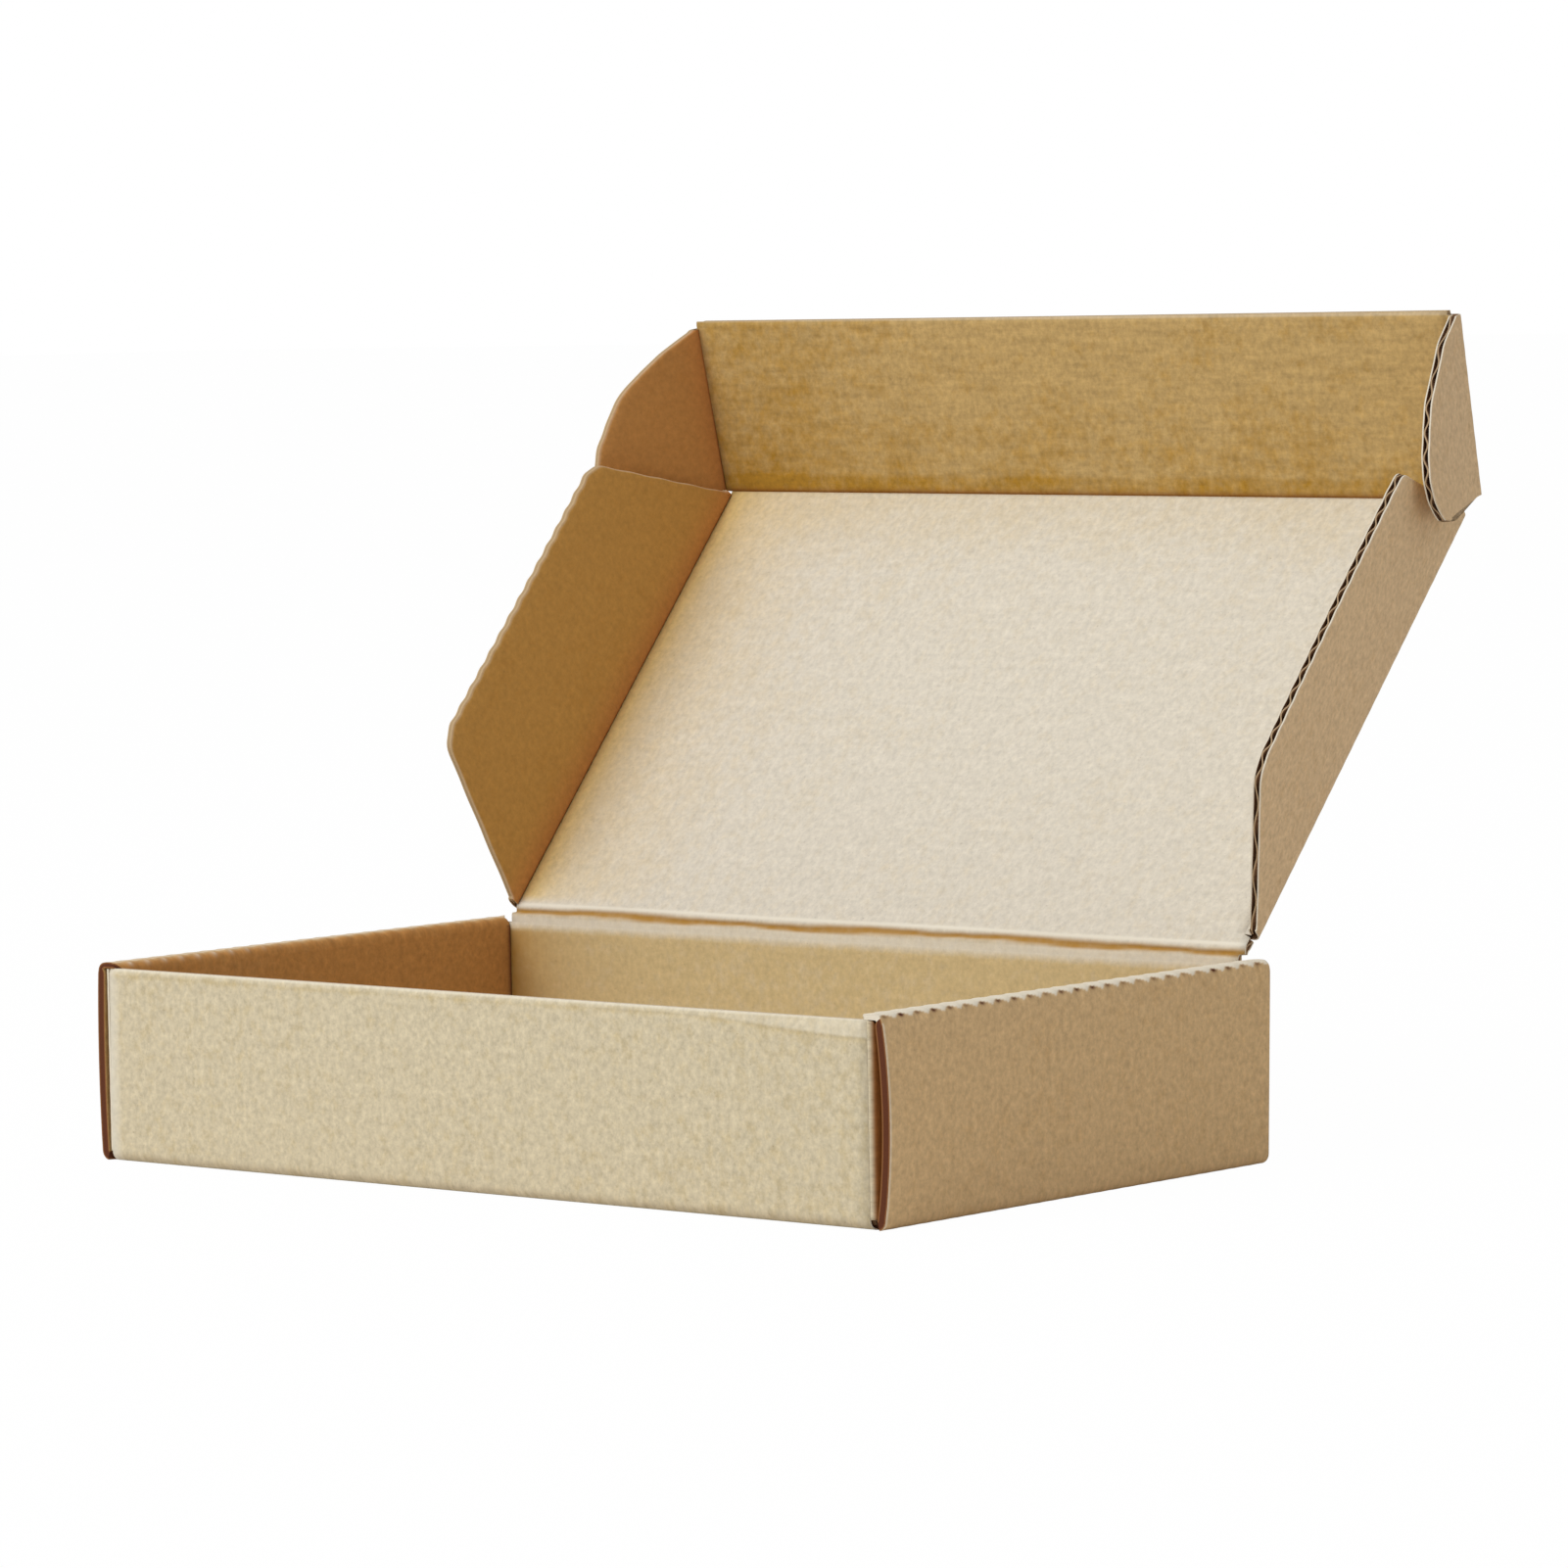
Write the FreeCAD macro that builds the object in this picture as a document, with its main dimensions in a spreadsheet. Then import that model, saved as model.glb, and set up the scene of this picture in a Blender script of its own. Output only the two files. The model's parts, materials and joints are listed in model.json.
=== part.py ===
"""Roll-end mailer box of corrugated board, 10 x 6 x 2 in inside, standing open.

The box is one die-cut sheet. The tray keeps its folds, and the lid, its side flaps, its tuck flap
and the two lugs are panels that turn on creases. X runs along the hinge, Y from the front wall to
the hinge, Z up, and the origin is the middle of the tray's underside.
"""

import FreeCAD, Part
import Sketcher
import math
import os

SIZES = [
    ("innerLength", 256.2, "clear length of the tray, along the hinge"),
    ("innerDepth", 153.0, "clear depth of the tray, front wall to rear wall"),
    ("wallHeight", 53.3, "height of the rolled side walls"),
    ("board", 2.5, "caliper of the board"),
    ("layerGap", 0.2, "air between the layers of a rolled wall"),
    ("foldRadius", 2.2, "outer radius of a closed fold"),
    ("frontDrop", 1.6, "how far the front wall stays below the side walls"),
    ("endSetback", 0.6, "how far a side panel's end stays behind the walls it meets"),
    ("dustLength", 44.0, "length of the dust flaps inside a side wall"),
    ("tabLength", 36.0, "length of a locking tab"),
    ("tabSpacing", 76.0, "distance between the two tabs of a side"),
    ("lidLength", 152.4, "hinge crease to tuck crease"),
    ("lidGap", 0.3, "gap under the closed lid"),
    ("lidSideGap", 0.25, "gap beside the lid's side flaps in the closed box"),
    ("lugOffset", 2.7, "how far the lug creases stand outside the side flap creases"),
    ("creaseGap", 0.2, "half the gap at a crease that moves"),
    ("creaseAngle", 32.0, "half angle of the room inside a crease"),
    ("hingeAngle", 42.0, "half angle of the pointed edges at the lid hinge"),
    ("sideHeight", 53.0, "height of a lid side flap"),
    ("sideRearSlope", 20.0, "run of a side flap's rear edge along the lid"),
    ("sideFrontSlope", 30.0, "run of a side flap's front edge along the lid"),
    ("sideRelief", 1.5, "gap between a side flap and the lid's front and rear creases"),
    ("sideRearRadius", 13.0, "radius of a side flap's rear corner"),
    ("sideFrontRadius", 7.0, "radius of a side flap's front corner"),
    ("tuckHeight", 49.5, "height of the tuck flap"),
    ("lugWidth", 45.0, "reach of a lug from its crease"),
    ("lugShoulder", 27.0, "height at which a lug starts to narrow"),
    ("lugTop", 12.0, "width of a lug along its upper edge"),
    ("lugRelief", 1.0, "gap between a lug and the lid crease"),
    ("lugLowRadius", 14.0, "radius of a lug's lower corner"),
    ("lugHighRadius", 18.0, "radius of a lug's shoulder"),
    ("flutePitch", 6.35, "pitch of the corrugated middle"),
    ("liner", 0.45, "thickness of a liner and of the middle at its crests"),
    ("fluteLean", 2.0, "run of the middle from one liner to the other"),
    ("lidAngle", 130.5, "opening of the lid from closed"),
    ("leftSideAngle", 87.0, "fold of the left side flap out of the lid's plane"),
    ("rightSideAngle", 68.0, "fold of the right side flap"),
    ("tuckAngle", 50.0, "fold of the tuck flap"),
    ("leftLugAngle", 81.0, "fold of the left lug out of the tuck flap's plane"),
    ("rightLugAngle", 62.0, "fold of the right lug"),
]

# places worked out from the sheet, as expressions
board = "Sizes.board"
halfBoard = "(Sizes.board / 2)"
wallThickness = "(3 * Sizes.board + 2 * Sizes.layerGap)"
halfInner = "(Sizes.innerLength / 2)"
halfLength = f"({halfInner} + {wallThickness})"
halfDepth = "(Sizes.innerDepth / 2 + Sizes.board)"
endHalf = f"({halfLength} - Sizes.board - Sizes.layerGap)"
frontTop = "(Sizes.wallHeight - Sizes.frontDrop)"
hingeDepth = "(Sizes.innerDepth / 2 + Sizes.board / 2)"
hingeHeight = f"(Sizes.wallHeight + Sizes.lidGap + {halfBoard})"
innerFloor = "(Sizes.board + Sizes.layerGap)"
dustTop = "(Sizes.wallHeight - Sizes.board - Sizes.layerGap)"
rollHalfDepth = "(Sizes.innerDepth / 2 - Sizes.layerGap)"
panelHalfDepth = f"({halfDepth} - Sizes.endSetback)"
lidHalf = f"({halfInner} - Sizes.lidSideGap - {halfBoard})"
tuckHalf = f"({lidHalf} + Sizes.lugOffset)"
creaseRun = f"({halfBoard} / tan(Sizes.creaseAngle))"
hingeRun = f"({halfBoard} / tan(Sizes.hingeAngle))"
airHalf = "(Sizes.flutePitch / 2 - Sizes.liner)"
pairRun = "(3 * Sizes.flutePitch / 2)"


def minus(expression):
    return f"-{expression}"


def makeSheet(doc):
    sheet = doc.addObject("Spreadsheet::Sheet", "Sizes")
    for row, (alias, value, meaning) in enumerate(SIZES, start=1):
        sheet.set(f"A{row}", alias)
        sheet.set(f"B{row}", str(value))
        sheet.set(f"C{row}", meaning)
        sheet.setAlias(f"B{row}", alias)
    doc.recompute()
    return sheet


def newBody(doc, label):
    body = doc.addObject("PartDesign::Body", label)
    body.Label = label
    return body


def originPlane(body, role):
    return next(item for item in body.Origin.OriginFeatures if item.Role == role)


def newSketch(body, name, role):
    sketch = body.newObject("Sketcher::SketchObject", name)
    sketch.AttachmentSupport = [(originPlane(body, role), "")]
    sketch.MapMode = "FlatFace"
    return sketch


def bindDatum(sketch, constraint, expression):
    index = sketch.addConstraint(constraint)
    sketch.setExpression(f"Constraints[{index}]", expression)


def placePoint(sketch, geometry, position, point, x, y):
    """Tie a sketch point to the origin by two bound distances."""
    for kind, axis, value, expression in (
        ("DistanceX", -2, point.x, x),
        ("DistanceY", -1, point.y, y),
    ):
        if expression == "0":
            sketch.addConstraint(Sketcher.Constraint("PointOnObject", geometry, position, axis))
        else:
            distance = Sketcher.Constraint(kind, -1, 1, geometry, position, value)
            bindDatum(sketch, distance, expression)


def cornerArc(place, back, ahead, radius):
    """The arc that rounds a corner between two directions, anticlockwise, and where it meets them."""
    half = back.getAngle(ahead) / 2
    centre = place + (back + ahead).normalize() * (radius / math.sin(half))
    trim = radius / math.tan(half)
    ends = [place + back * trim, place + ahead * trim]
    angles = [math.atan2(end.y - centre.y, end.x - centre.x) for end in ends]
    anticlockwise = (angles[1] - angles[0]) % (2 * math.pi) < math.pi
    if not anticlockwise:
        angles.reverse()
    circle = Part.Circle(centre, FreeCAD.Vector(0, 0, 1), radius)
    return Part.ArcOfCircle(circle, *angles), ends, 1 if anticlockwise else 2


def drawOutline(sketch, corners):
    """Draw a closed outline of lines. A corner is (x, y) or (x, y, radius), as expressions."""
    places = [
        FreeCAD.Vector(sketch.evalExpression(corner[0]), sketch.evalExpression(corner[1]), 0)
        for corner in corners
    ]
    count = len(places)
    rounds = {}
    for index, corner in enumerate(corners):
        if len(corner) == 3:
            back = (places[index - 1] - places[index]).normalize()
            ahead = (places[(index + 1) % count] - places[index]).normalize()
            radius = float(sketch.evalExpression(corner[2]))
            rounds[index] = cornerArc(places[index], back, ahead, radius)
    lines = []
    for index in range(count):
        after = (index + 1) % count
        start = rounds[index][1][1] if index in rounds else places[index]
        end = rounds[after][1][0] if after in rounds else places[after]
        lines.append(sketch.addGeometry(Part.LineSegment(start, end)))
    for index, corner in enumerate(corners):
        before, after = lines[index - 1], lines[index]
        if index in rounds:
            shape, ends, first = rounds[index]
            arc = sketch.addGeometry(shape)
            sketch.addConstraint(Sketcher.Constraint("Tangent", before, 2, arc, first))
            sketch.addConstraint(Sketcher.Constraint("Tangent", arc, 3 - first, after, 1))
            bindDatum(sketch, Sketcher.Constraint("Radius", arc, shape.Radius), corner[2])
            point = sketch.addGeometry(Part.Point(places[index]), True)
            sketch.addConstraint(Sketcher.Constraint("PointOnObject", point, 1, before))
            sketch.addConstraint(Sketcher.Constraint("PointOnObject", point, 1, after))
            placePoint(sketch, point, 1, places[index], *corner[:2])
        else:
            sketch.addConstraint(Sketcher.Constraint("Coincident", before, 2, after, 1))
            placePoint(sketch, after, 1, places[index], *corner[:2])


def mirrored(corners):
    """The same corners on the other side of the sketch's vertical axis."""
    return [(minus(corner[0]) if corner[0] != "0" else "0", *corner[1:]) for corner in corners]


def pad(body, sketch, name, length, symmetric=True):
    feature = body.newObject("PartDesign::Pad", name)
    feature.Profile = sketch
    feature.SideType = "Symmetric" if symmetric else "One side"
    feature.setExpression("Length", length)
    return feature


def cut(body, sketch, name, length=None):
    """Cut right through, or by a length centred on the sketch's plane, and check the volume."""
    body.Document.recompute()
    before = body.Shape.Volume
    feature = body.newObject("PartDesign::Pocket", name)
    feature.Profile = sketch
    feature.SideType = "Symmetric"
    if length is None:
        feature.Type = "ThroughAll"
    else:
        feature.setExpression("Length", length)
    body.Document.recompute()
    if body.Shape.Volume > before - 1e-3:
        raise RuntimeError(f"{body.Label}: {name} cuts nothing")
    return feature


def raiseSketch(sketch, height):
    """Move a sketch off its plane, along the plane's normal."""
    sketch.setExpression("AttachmentOffset.Base.z", height)


def addFlutes(body, name, role, start, run):
    """Cut one pitch of the corrugated middle's air on each side of it, and repeat it."""
    sketch = newSketch(body, f"{name}Profile", role)
    low = f"({halfBoard} - Sizes.liner)"
    crest = f"({airHalf} - Sizes.fluteLean)"
    below = f"({start} + Sizes.flutePitch / 2)"
    above = f"({start} + Sizes.flutePitch)"
    for centre, side in ((below, "-1"), (above, "1")):
        corners = [
            (f"{centre} - {airHalf}", f"{side} * {low}"),
            (f"{centre} + {airHalf}", f"{side} * {low}"),
            (f"{centre} + {crest}", f"-{side} * ({low} - Sizes.liner)"),
            (f"{centre} - {crest}", f"-{side} * ({low} - Sizes.liner)"),
        ]
        drawOutline(sketch, corners)
    flute = cut(body, sketch, name)
    pattern = body.newObject("PartDesign::LinearPattern", f"{name}Row")
    pattern.Originals = [flute]
    pattern.Direction = (sketch, ["H_Axis"])
    steps = f"floor(({run} - {pairRun}) / Sizes.flutePitch)"
    pattern.setExpression("Length", f"{steps} * Sizes.flutePitch")
    pattern.setExpression("Occurrences", f"{steps} + 1")
    body.Tip = pattern


def creaseCut(body, name, role, edge, toward, half=creaseRun, both=False):
    """Bevel the inner half of an edge that lies on a crease, or both halves of it."""
    sketch = newSketch(body, name, role)
    start = f"({edge} {toward} Sizes.creaseGap)"
    stop = f"({start} {toward} {half})"
    beyond = f"({edge})"
    for side in ("1", "-1") if both else ("1",):
        drawOutline(
            sketch,
            [
                (beyond, "0"),
                (start, "0"),
                (stop, f"{side} * {halfBoard}"),
                (stop, f"{side} * {board}"),
                (beyond, f"{side} * {board}"),
            ],
        )
    return cut(body, sketch, f"{name}Bevel")


def trayShell(body):
    """The bottom with its outer side panels, and the front and rear walls folded up from it."""
    sides = newSketch(body, "SideSection", "XZ_Plane")
    wallTop = "(Sizes.wallHeight - Sizes.foldRadius)"
    inside = f"({halfLength} - Sizes.board)"
    right = [
        (halfLength, "0", "Sizes.foldRadius"),
        (halfLength, wallTop),
        (inside, wallTop),
        (inside, board),
    ]
    left = list(reversed(mirrored(right)))
    drawOutline(sides, right + left)
    pad(body, sides, "SidePanels", f"2 * {panelHalfDepth}")
    ends = newSketch(body, "EndSection", "YZ_Plane")
    innerWall = "(Sizes.innerDepth / 2)"
    tip = f"({hingeHeight} - Sizes.creaseGap)"
    neck = f"({tip} - {hingeRun})"
    drawOutline(
        ends,
        [
            (minus(halfDepth), "0", "Sizes.foldRadius"),
            (halfDepth, "0", "Sizes.foldRadius"),
            (halfDepth, neck),
            (hingeDepth, tip),
            (innerWall, neck),
            (innerWall, board),
            (minus(innerWall), board),
            (minus(innerWall), frontTop),
            (minus(halfDepth), frontTop),
        ],
    )
    pad(body, ends, "EndWalls", f"2 * ({endHalf} - Sizes.board)")


def hingeShoulders(body):
    """Lower the rear wall's top on both sides of the lid."""
    sketch = newSketch(body, "ShoulderOutline", "XZ_Plane")
    inner = f"({halfInner} - Sizes.layerGap)"
    right = [
        (inner, frontTop),
        (halfLength, frontTop),
        (halfLength, f"({hingeHeight} + Sizes.board)"),
        (inner, f"({hingeHeight} + Sizes.board)"),
    ]
    drawOutline(sketch, right)
    drawOutline(sketch, mirrored(right))
    cut(body, sketch, "HingeShoulders")


def cornerFolds(body):
    """The folds at the four corners, with the dust flaps that run back inside the side walls."""
    sketch = newSketch(body, "DustOutline", "XY_Plane")
    raiseSketch(sketch, innerFloor)
    inside = f"({endHalf} - Sizes.board)"
    wall = "(Sizes.innerDepth / 2)"
    reach = f"({halfDepth} - Sizes.dustLength)"
    corner = [
        (f"({inside} - Sizes.board)", halfDepth),
        (endHalf, halfDepth, "Sizes.foldRadius"),
        (endHalf, reach),
        (inside, reach),
        (inside, wall),
        (f"({inside} - Sizes.board)", wall),
    ]
    for sideways in (False, True):
        for forward in (False, True):
            corners = mirrored(corner) if sideways else corner
            if forward:
                corners = [(place[0], minus(place[1]), *place[2:]) for place in corners]
            drawOutline(sketch, corners)
    pad(body, sketch, "CornerFolds", f"({dustTop} - {innerFloor})", symmetric=False)


def rolledWalls(body):
    """The top strip of each side wall and the inner panel that comes down from it."""
    sketch = newSketch(body, "RollSection", "XZ_Plane")
    inside = f"({halfLength} - Sizes.board)"
    right = [
        (halfLength, "Sizes.wallHeight", "Sizes.foldRadius"),
        (halfInner, "Sizes.wallHeight", "Sizes.foldRadius"),
        (halfInner, innerFloor),
        (f"({halfInner} + Sizes.board)", innerFloor),
        (f"({halfInner} + Sizes.board)", "(Sizes.wallHeight - Sizes.board)"),
        (inside, "(Sizes.wallHeight - Sizes.board)"),
        (inside, dustTop),
        (halfLength, dustTop),
    ]
    drawOutline(sketch, right)
    drawOutline(sketch, mirrored(right))
    pad(body, sketch, "RolledWalls", f"2 * {rollHalfDepth}")


def tabRectangles(sketch, slack):
    """Rectangles at the four locking tabs, grown by slack."""
    half = f"(Sizes.tabLength / 2 + {slack})"
    near = f"({halfInner} - {slack})"
    far = f"({halfInner} + Sizes.board + {slack})"
    for middle in ("Sizes.tabSpacing / 2", "-Sizes.tabSpacing / 2"):
        corners = [
            (near, f"({middle} - {half})"),
            (far, f"({middle} - {half})"),
            (far, f"({middle} + {half})"),
            (near, f"({middle} + {half})"),
        ]
        drawOutline(sketch, corners)
        drawOutline(sketch, mirrored(corners))


def lockingTabs(body):
    """Slots in the bottom, and the inner panels' tabs that stand in them."""
    slots = newSketch(body, "SlotOutline", "XY_Plane")
    tabRectangles(slots, "Sizes.layerGap")
    cut(body, slots, "TabSlots", f"2 * ({board} + Sizes.layerGap / 2)")
    tabs = newSketch(body, "TabOutline", "XY_Plane")
    raiseSketch(tabs, "Sizes.layerGap")
    tabRectangles(tabs, "0")
    pad(body, tabs, "LockingTabs", f"({innerFloor} + Sizes.board - Sizes.layerGap)", symmetric=False)


def makeTray(doc):
    body = newBody(doc, "tray")
    trayShell(body)
    hingeShoulders(body)
    lockingTabs(body)
    rolledWalls(body)
    cornerFolds(body)
    return body


def setPlacement(body, parent, x, y, z, axis, angle):
    """Place a panel's frame on its parent's, turned about one axis of the crease."""
    own = f"placement(vector({x}; {y}; {z}); rotation(vector({axis}); {angle}))"
    body.setExpression("Placement", f"{parent.Name}.Placement * {own}" if parent else own)


def makeLid(doc):
    """The lid panel, in a frame with Y from the hinge to the tuck crease and Z to its inner face."""
    body = newBody(doc, "lid_panel")
    sketch = newSketch(body, "LidOutline", "XY_Plane")
    side = f"({lidHalf} - Sizes.creaseGap)"
    end = "(Sizes.lidLength - Sizes.creaseGap)"
    drawOutline(
        sketch,
        [
            (minus(side), "Sizes.creaseGap"),
            (side, "Sizes.creaseGap"),
            (side, end),
            (minus(side), end),
        ],
    )
    pad(body, sketch, "LidBoard", board)
    addFlutes(body, "LidFlutes", "YZ_Plane", hingeRun, f"Sizes.lidLength - {hingeRun} - {creaseRun}")
    creaseCut(body, "HingeEdge", "YZ_Plane", "0", "+", hingeRun, both=True)
    creaseCut(body, "TuckEdge", "YZ_Plane", "Sizes.lidLength", "-")
    creaseCut(body, "RightEdge", "XZ_Plane", lidHalf, "-")
    creaseCut(body, "LeftEdge", "XZ_Plane", minus(lidHalf), "+")
    setPlacement(body, None, "0", hingeDepth, hingeHeight, "1; 0; 0", "180 - Sizes.lidAngle")
    return body


def makeSideFlap(doc, lid, label, right):
    """A side flap of the lid: a tapered panel with round corners, folded on the lid's side crease."""
    body = newBody(doc, label)
    sketch = newSketch(body, "FlapOutline", "XY_Plane")
    rear = "Sizes.sideRelief"
    front = "(Sizes.lidLength - Sizes.sideRelief)"
    corners = [
        ("Sizes.creaseGap", rear),
        ("Sizes.sideHeight", "Sizes.sideRearSlope", "Sizes.sideRearRadius"),
        ("Sizes.sideHeight", "(Sizes.lidLength - Sizes.sideFrontSlope)", "Sizes.sideFrontRadius"),
        ("Sizes.creaseGap", front),
    ]
    drawOutline(sketch, corners if right else mirrored(corners))
    pad(body, sketch, "FlapBoard", board)
    start = "(Sizes.sideRelief + Sizes.liner)"
    addFlutes(body, "FlapFlutes", "YZ_Plane", start, f"{front} - {start}")
    creaseCut(body, "CreaseEdge", "XZ_Plane", "0", "+" if right else "-")
    side, turn = (lidHalf, "-Sizes.rightSideAngle") if right else (minus(lidHalf), "Sizes.leftSideAngle")
    setPlacement(body, lid, side, "0", "0", "0; 1; 0", turn)
    return body


def makeTuck(doc, lid):
    """The tuck flap along the lid's front crease."""
    body = newBody(doc, "tuck_flap")
    sketch = newSketch(body, "TuckOutline", "XY_Plane")
    side = f"({tuckHalf} - Sizes.creaseGap)"
    drawOutline(
        sketch,
        [
            (minus(side), "Sizes.creaseGap"),
            (side, "Sizes.creaseGap"),
            (side, "Sizes.tuckHeight"),
            (minus(side), "Sizes.tuckHeight"),
        ],
    )
    pad(body, sketch, "TuckBoard", board)
    addFlutes(body, "TuckFlutes", "YZ_Plane", creaseRun, f"Sizes.tuckHeight - {creaseRun}")
    creaseCut(body, "RootEdge", "YZ_Plane", "0", "+")
    creaseCut(body, "RightEdge", "XZ_Plane", tuckHalf, "-")
    creaseCut(body, "LeftEdge", "XZ_Plane", minus(tuckHalf), "+")
    setPlacement(body, lid, "0", "Sizes.lidLength", "0", "1; 0; 0", "Sizes.tuckAngle")
    return body


def makeLug(doc, tuck, label, right):
    """A lug at an end of the tuck flap, rounded so that it slides down inside the side wall."""
    body = newBody(doc, label)
    sketch = newSketch(body, "LugOutline", "XY_Plane")
    top = "(Sizes.tuckHeight - Sizes.creaseGap)"
    corners = [
        ("Sizes.creaseGap", "Sizes.lugRelief"),
        ("Sizes.lugWidth", "Sizes.lugRelief", "Sizes.lugLowRadius"),
        ("Sizes.lugWidth", "Sizes.lugShoulder", "Sizes.lugHighRadius"),
        ("Sizes.lugTop", top, "Sizes.lugLowRadius"),
        ("Sizes.creaseGap", top),
    ]
    drawOutline(sketch, corners if right else mirrored(corners))
    pad(body, sketch, "LugBoard", board)
    addFlutes(body, "LugFlutes", "YZ_Plane", "Sizes.lugRelief", f"{top} - Sizes.lugRelief")
    creaseCut(body, "CreaseEdge", "XZ_Plane", "0", "+" if right else "-")
    side, turn = (tuckHalf, "-Sizes.rightLugAngle") if right else (minus(tuckHalf), "Sizes.leftLugAngle")
    setPlacement(body, tuck, side, "0", "0", "0; 1; 0", turn)
    return body


def checkDocument(doc, bodies):
    for item in doc.Objects:
        if "Invalid" in item.State or "Error" in item.State:
            raise RuntimeError(f"{item.Name} failed: {item.State}")
    for body in bodies:
        if body.Shape.isNull() or not body.Shape.isValid():
            raise RuntimeError(f"{body.Label} has no valid shape")
        if len(body.Shape.Solids) != 1:
            raise RuntimeError(f"{body.Label} is {len(body.Shape.Solids)} solids")


def main():
    doc = FreeCAD.newDocument("MailerBox")
    makeSheet(doc)
    tray = makeTray(doc)
    lid = makeLid(doc)
    leftSide = makeSideFlap(doc, lid, "left_side_flap", right=False)
    rightSide = makeSideFlap(doc, lid, "right_side_flap", right=True)
    tuck = makeTuck(doc, lid)
    leftLug = makeLug(doc, tuck, "left_lug", right=False)
    rightLug = makeLug(doc, tuck, "right_lug", right=True)
    bodies = [tray, lid, leftSide, rightSide, tuck, leftLug, rightLug]
    doc.recompute()
    checkDocument(doc, bodies)
    os.makedirs("parts", exist_ok=True)
    for body in bodies:
        body.Shape.exportStep(f"parts/{body.Label}.step")
        print(f"{body.Label}: {body.Shape.Volume / 1000:.1f} cm3, {len(body.Shape.Faces)} faces")


main()
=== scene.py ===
import json
import math

import bpy
import numpy as np
from mathutils import Matrix, Vector


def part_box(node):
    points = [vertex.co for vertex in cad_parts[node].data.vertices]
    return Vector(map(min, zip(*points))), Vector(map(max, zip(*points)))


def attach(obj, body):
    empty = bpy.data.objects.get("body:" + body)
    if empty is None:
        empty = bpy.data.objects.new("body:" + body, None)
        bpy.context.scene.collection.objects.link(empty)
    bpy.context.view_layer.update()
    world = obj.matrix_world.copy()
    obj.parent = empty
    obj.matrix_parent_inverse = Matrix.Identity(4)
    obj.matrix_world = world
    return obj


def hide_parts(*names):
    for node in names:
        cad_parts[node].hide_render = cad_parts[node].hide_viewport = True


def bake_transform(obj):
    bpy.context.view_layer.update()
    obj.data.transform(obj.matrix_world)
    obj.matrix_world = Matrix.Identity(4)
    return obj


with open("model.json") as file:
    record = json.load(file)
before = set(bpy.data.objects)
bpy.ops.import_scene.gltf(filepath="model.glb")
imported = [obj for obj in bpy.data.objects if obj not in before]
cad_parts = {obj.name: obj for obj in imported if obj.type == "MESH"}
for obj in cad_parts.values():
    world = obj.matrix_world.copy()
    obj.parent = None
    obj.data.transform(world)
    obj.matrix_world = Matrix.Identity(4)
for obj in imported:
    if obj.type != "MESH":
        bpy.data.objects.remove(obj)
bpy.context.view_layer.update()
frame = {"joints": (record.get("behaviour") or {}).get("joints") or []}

print("frame loaded")

mm = 0.001

# the corrugated board that every piece is cut from
stock = {
    "thickness": 2.5 * mm,
    "liner": 0.38 * mm,
    "middle": 0.42 * mm,
    "tightest": 0.02 * mm,  # half the room that the flutes keep where the board is crushed
    "packed": 0.98,  # how much of their room the flutes fill at a soft cut edge
    "pitch": 6.35 * mm,
    "washboard": 0.02 * mm,  # how far the flutes print through the liners
    "foldRadius": 1.45 * mm,  # middle of the board in a square fold
    "rollRadius": 0.95 * mm,  # and in the crushed folds over a side wall
    "crushPower": 1.5,  # how suddenly the board thins towards a crushed edge
    "leastFlap": 2.4 * mm,  # how far a flap reaches past its fold where its outline is lowest
}
fold, roll = stock["foldRadius"], stock["rollRadius"]
waveStep = stock["pitch"] / 10
hair = 0.01 * mm  # apart by this, two rows make a sharp step

# the hinge and the lid's directions come from the frame's joints
joints = {joint["name"]: joint for joint in frame["joints"]}
hingePoint, tuckCrease = (np.array(joints[name]["pos_m"]) for name in ("lid_hinge", "tuck_crease"))
creaseWay = joints["left_side_crease"]["axis"]
unitX = np.array([1.0, 0, 0])

# where the folded sheet stands, on the middle of its board
places = {
    "sideHalf": round(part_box("tray")[1][0], 5) - stock["thickness"] / 2,
    "rollWidth": 5.4 * mm,  # from the outer panel of a side wall to its inner panel
    "rollTop": 52.05 * mm,
    "wallHalf": hingePoint[1],
    "floor": stock["thickness"] / 2,
    "hingeHeight": hingePoint[2],
    "lidLength": round(np.linalg.norm(tuckCrease - hingePoint), 5),
    "lidAngle": round(math.degrees(math.atan2(creaseWay[2], -creaseWay[1])), 2),
    "tuckHeight": 51.2 * mm,
    "tuckAngle": 48.85,
    "tuckDrop": 1.35 * mm,  # how far the tuck flap's crease lies short of the lid's length
    "tuckSkew": 0.0049,  # and its slope, which takes it nearer to the hinge on the right
    # the lid stands a little askew: how far its side creases lie from the middle, near and far end
    "lidCreases": {"left": (127.2 * mm, 127.2 * mm), "right": (130.2 * mm, 133.8 * mm)},
    "lugCreases": {"left": (129.8 * mm, 133.5 * mm), "right": (137.0 * mm, 135.8 * mm)},
}
places["innerHalf"] = places["sideHalf"] - places["rollWidth"]


def crease(kind, side, share):
    near, far = places[kind][side]
    return near + (far - near) * share


def spread(stops, step):
    # stations from stop to stop, none further apart than the step
    stations = [stops[0]]
    for low, high in zip(stops[:-1], stops[1:]):
        count = max(1, math.ceil(abs(high - low) / step - 1e-6))
        stations += [low + (high - low) * (index + 1) / count for index in range(count)]
    return np.array(stations)


def bell(distance, width):
    return np.exp(-((distance / width) ** 2))


def rise(value, low, high):
    x = np.clip((value - low) / (high - low), 0, 1)
    return x * x * (3 - 2 * x)


def band(value, start, full, fade, end):
    # 1 from full to fade, nothing before start or after end
    return rise(value, start, full) * (1 - rise(value, fade, end))


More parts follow.
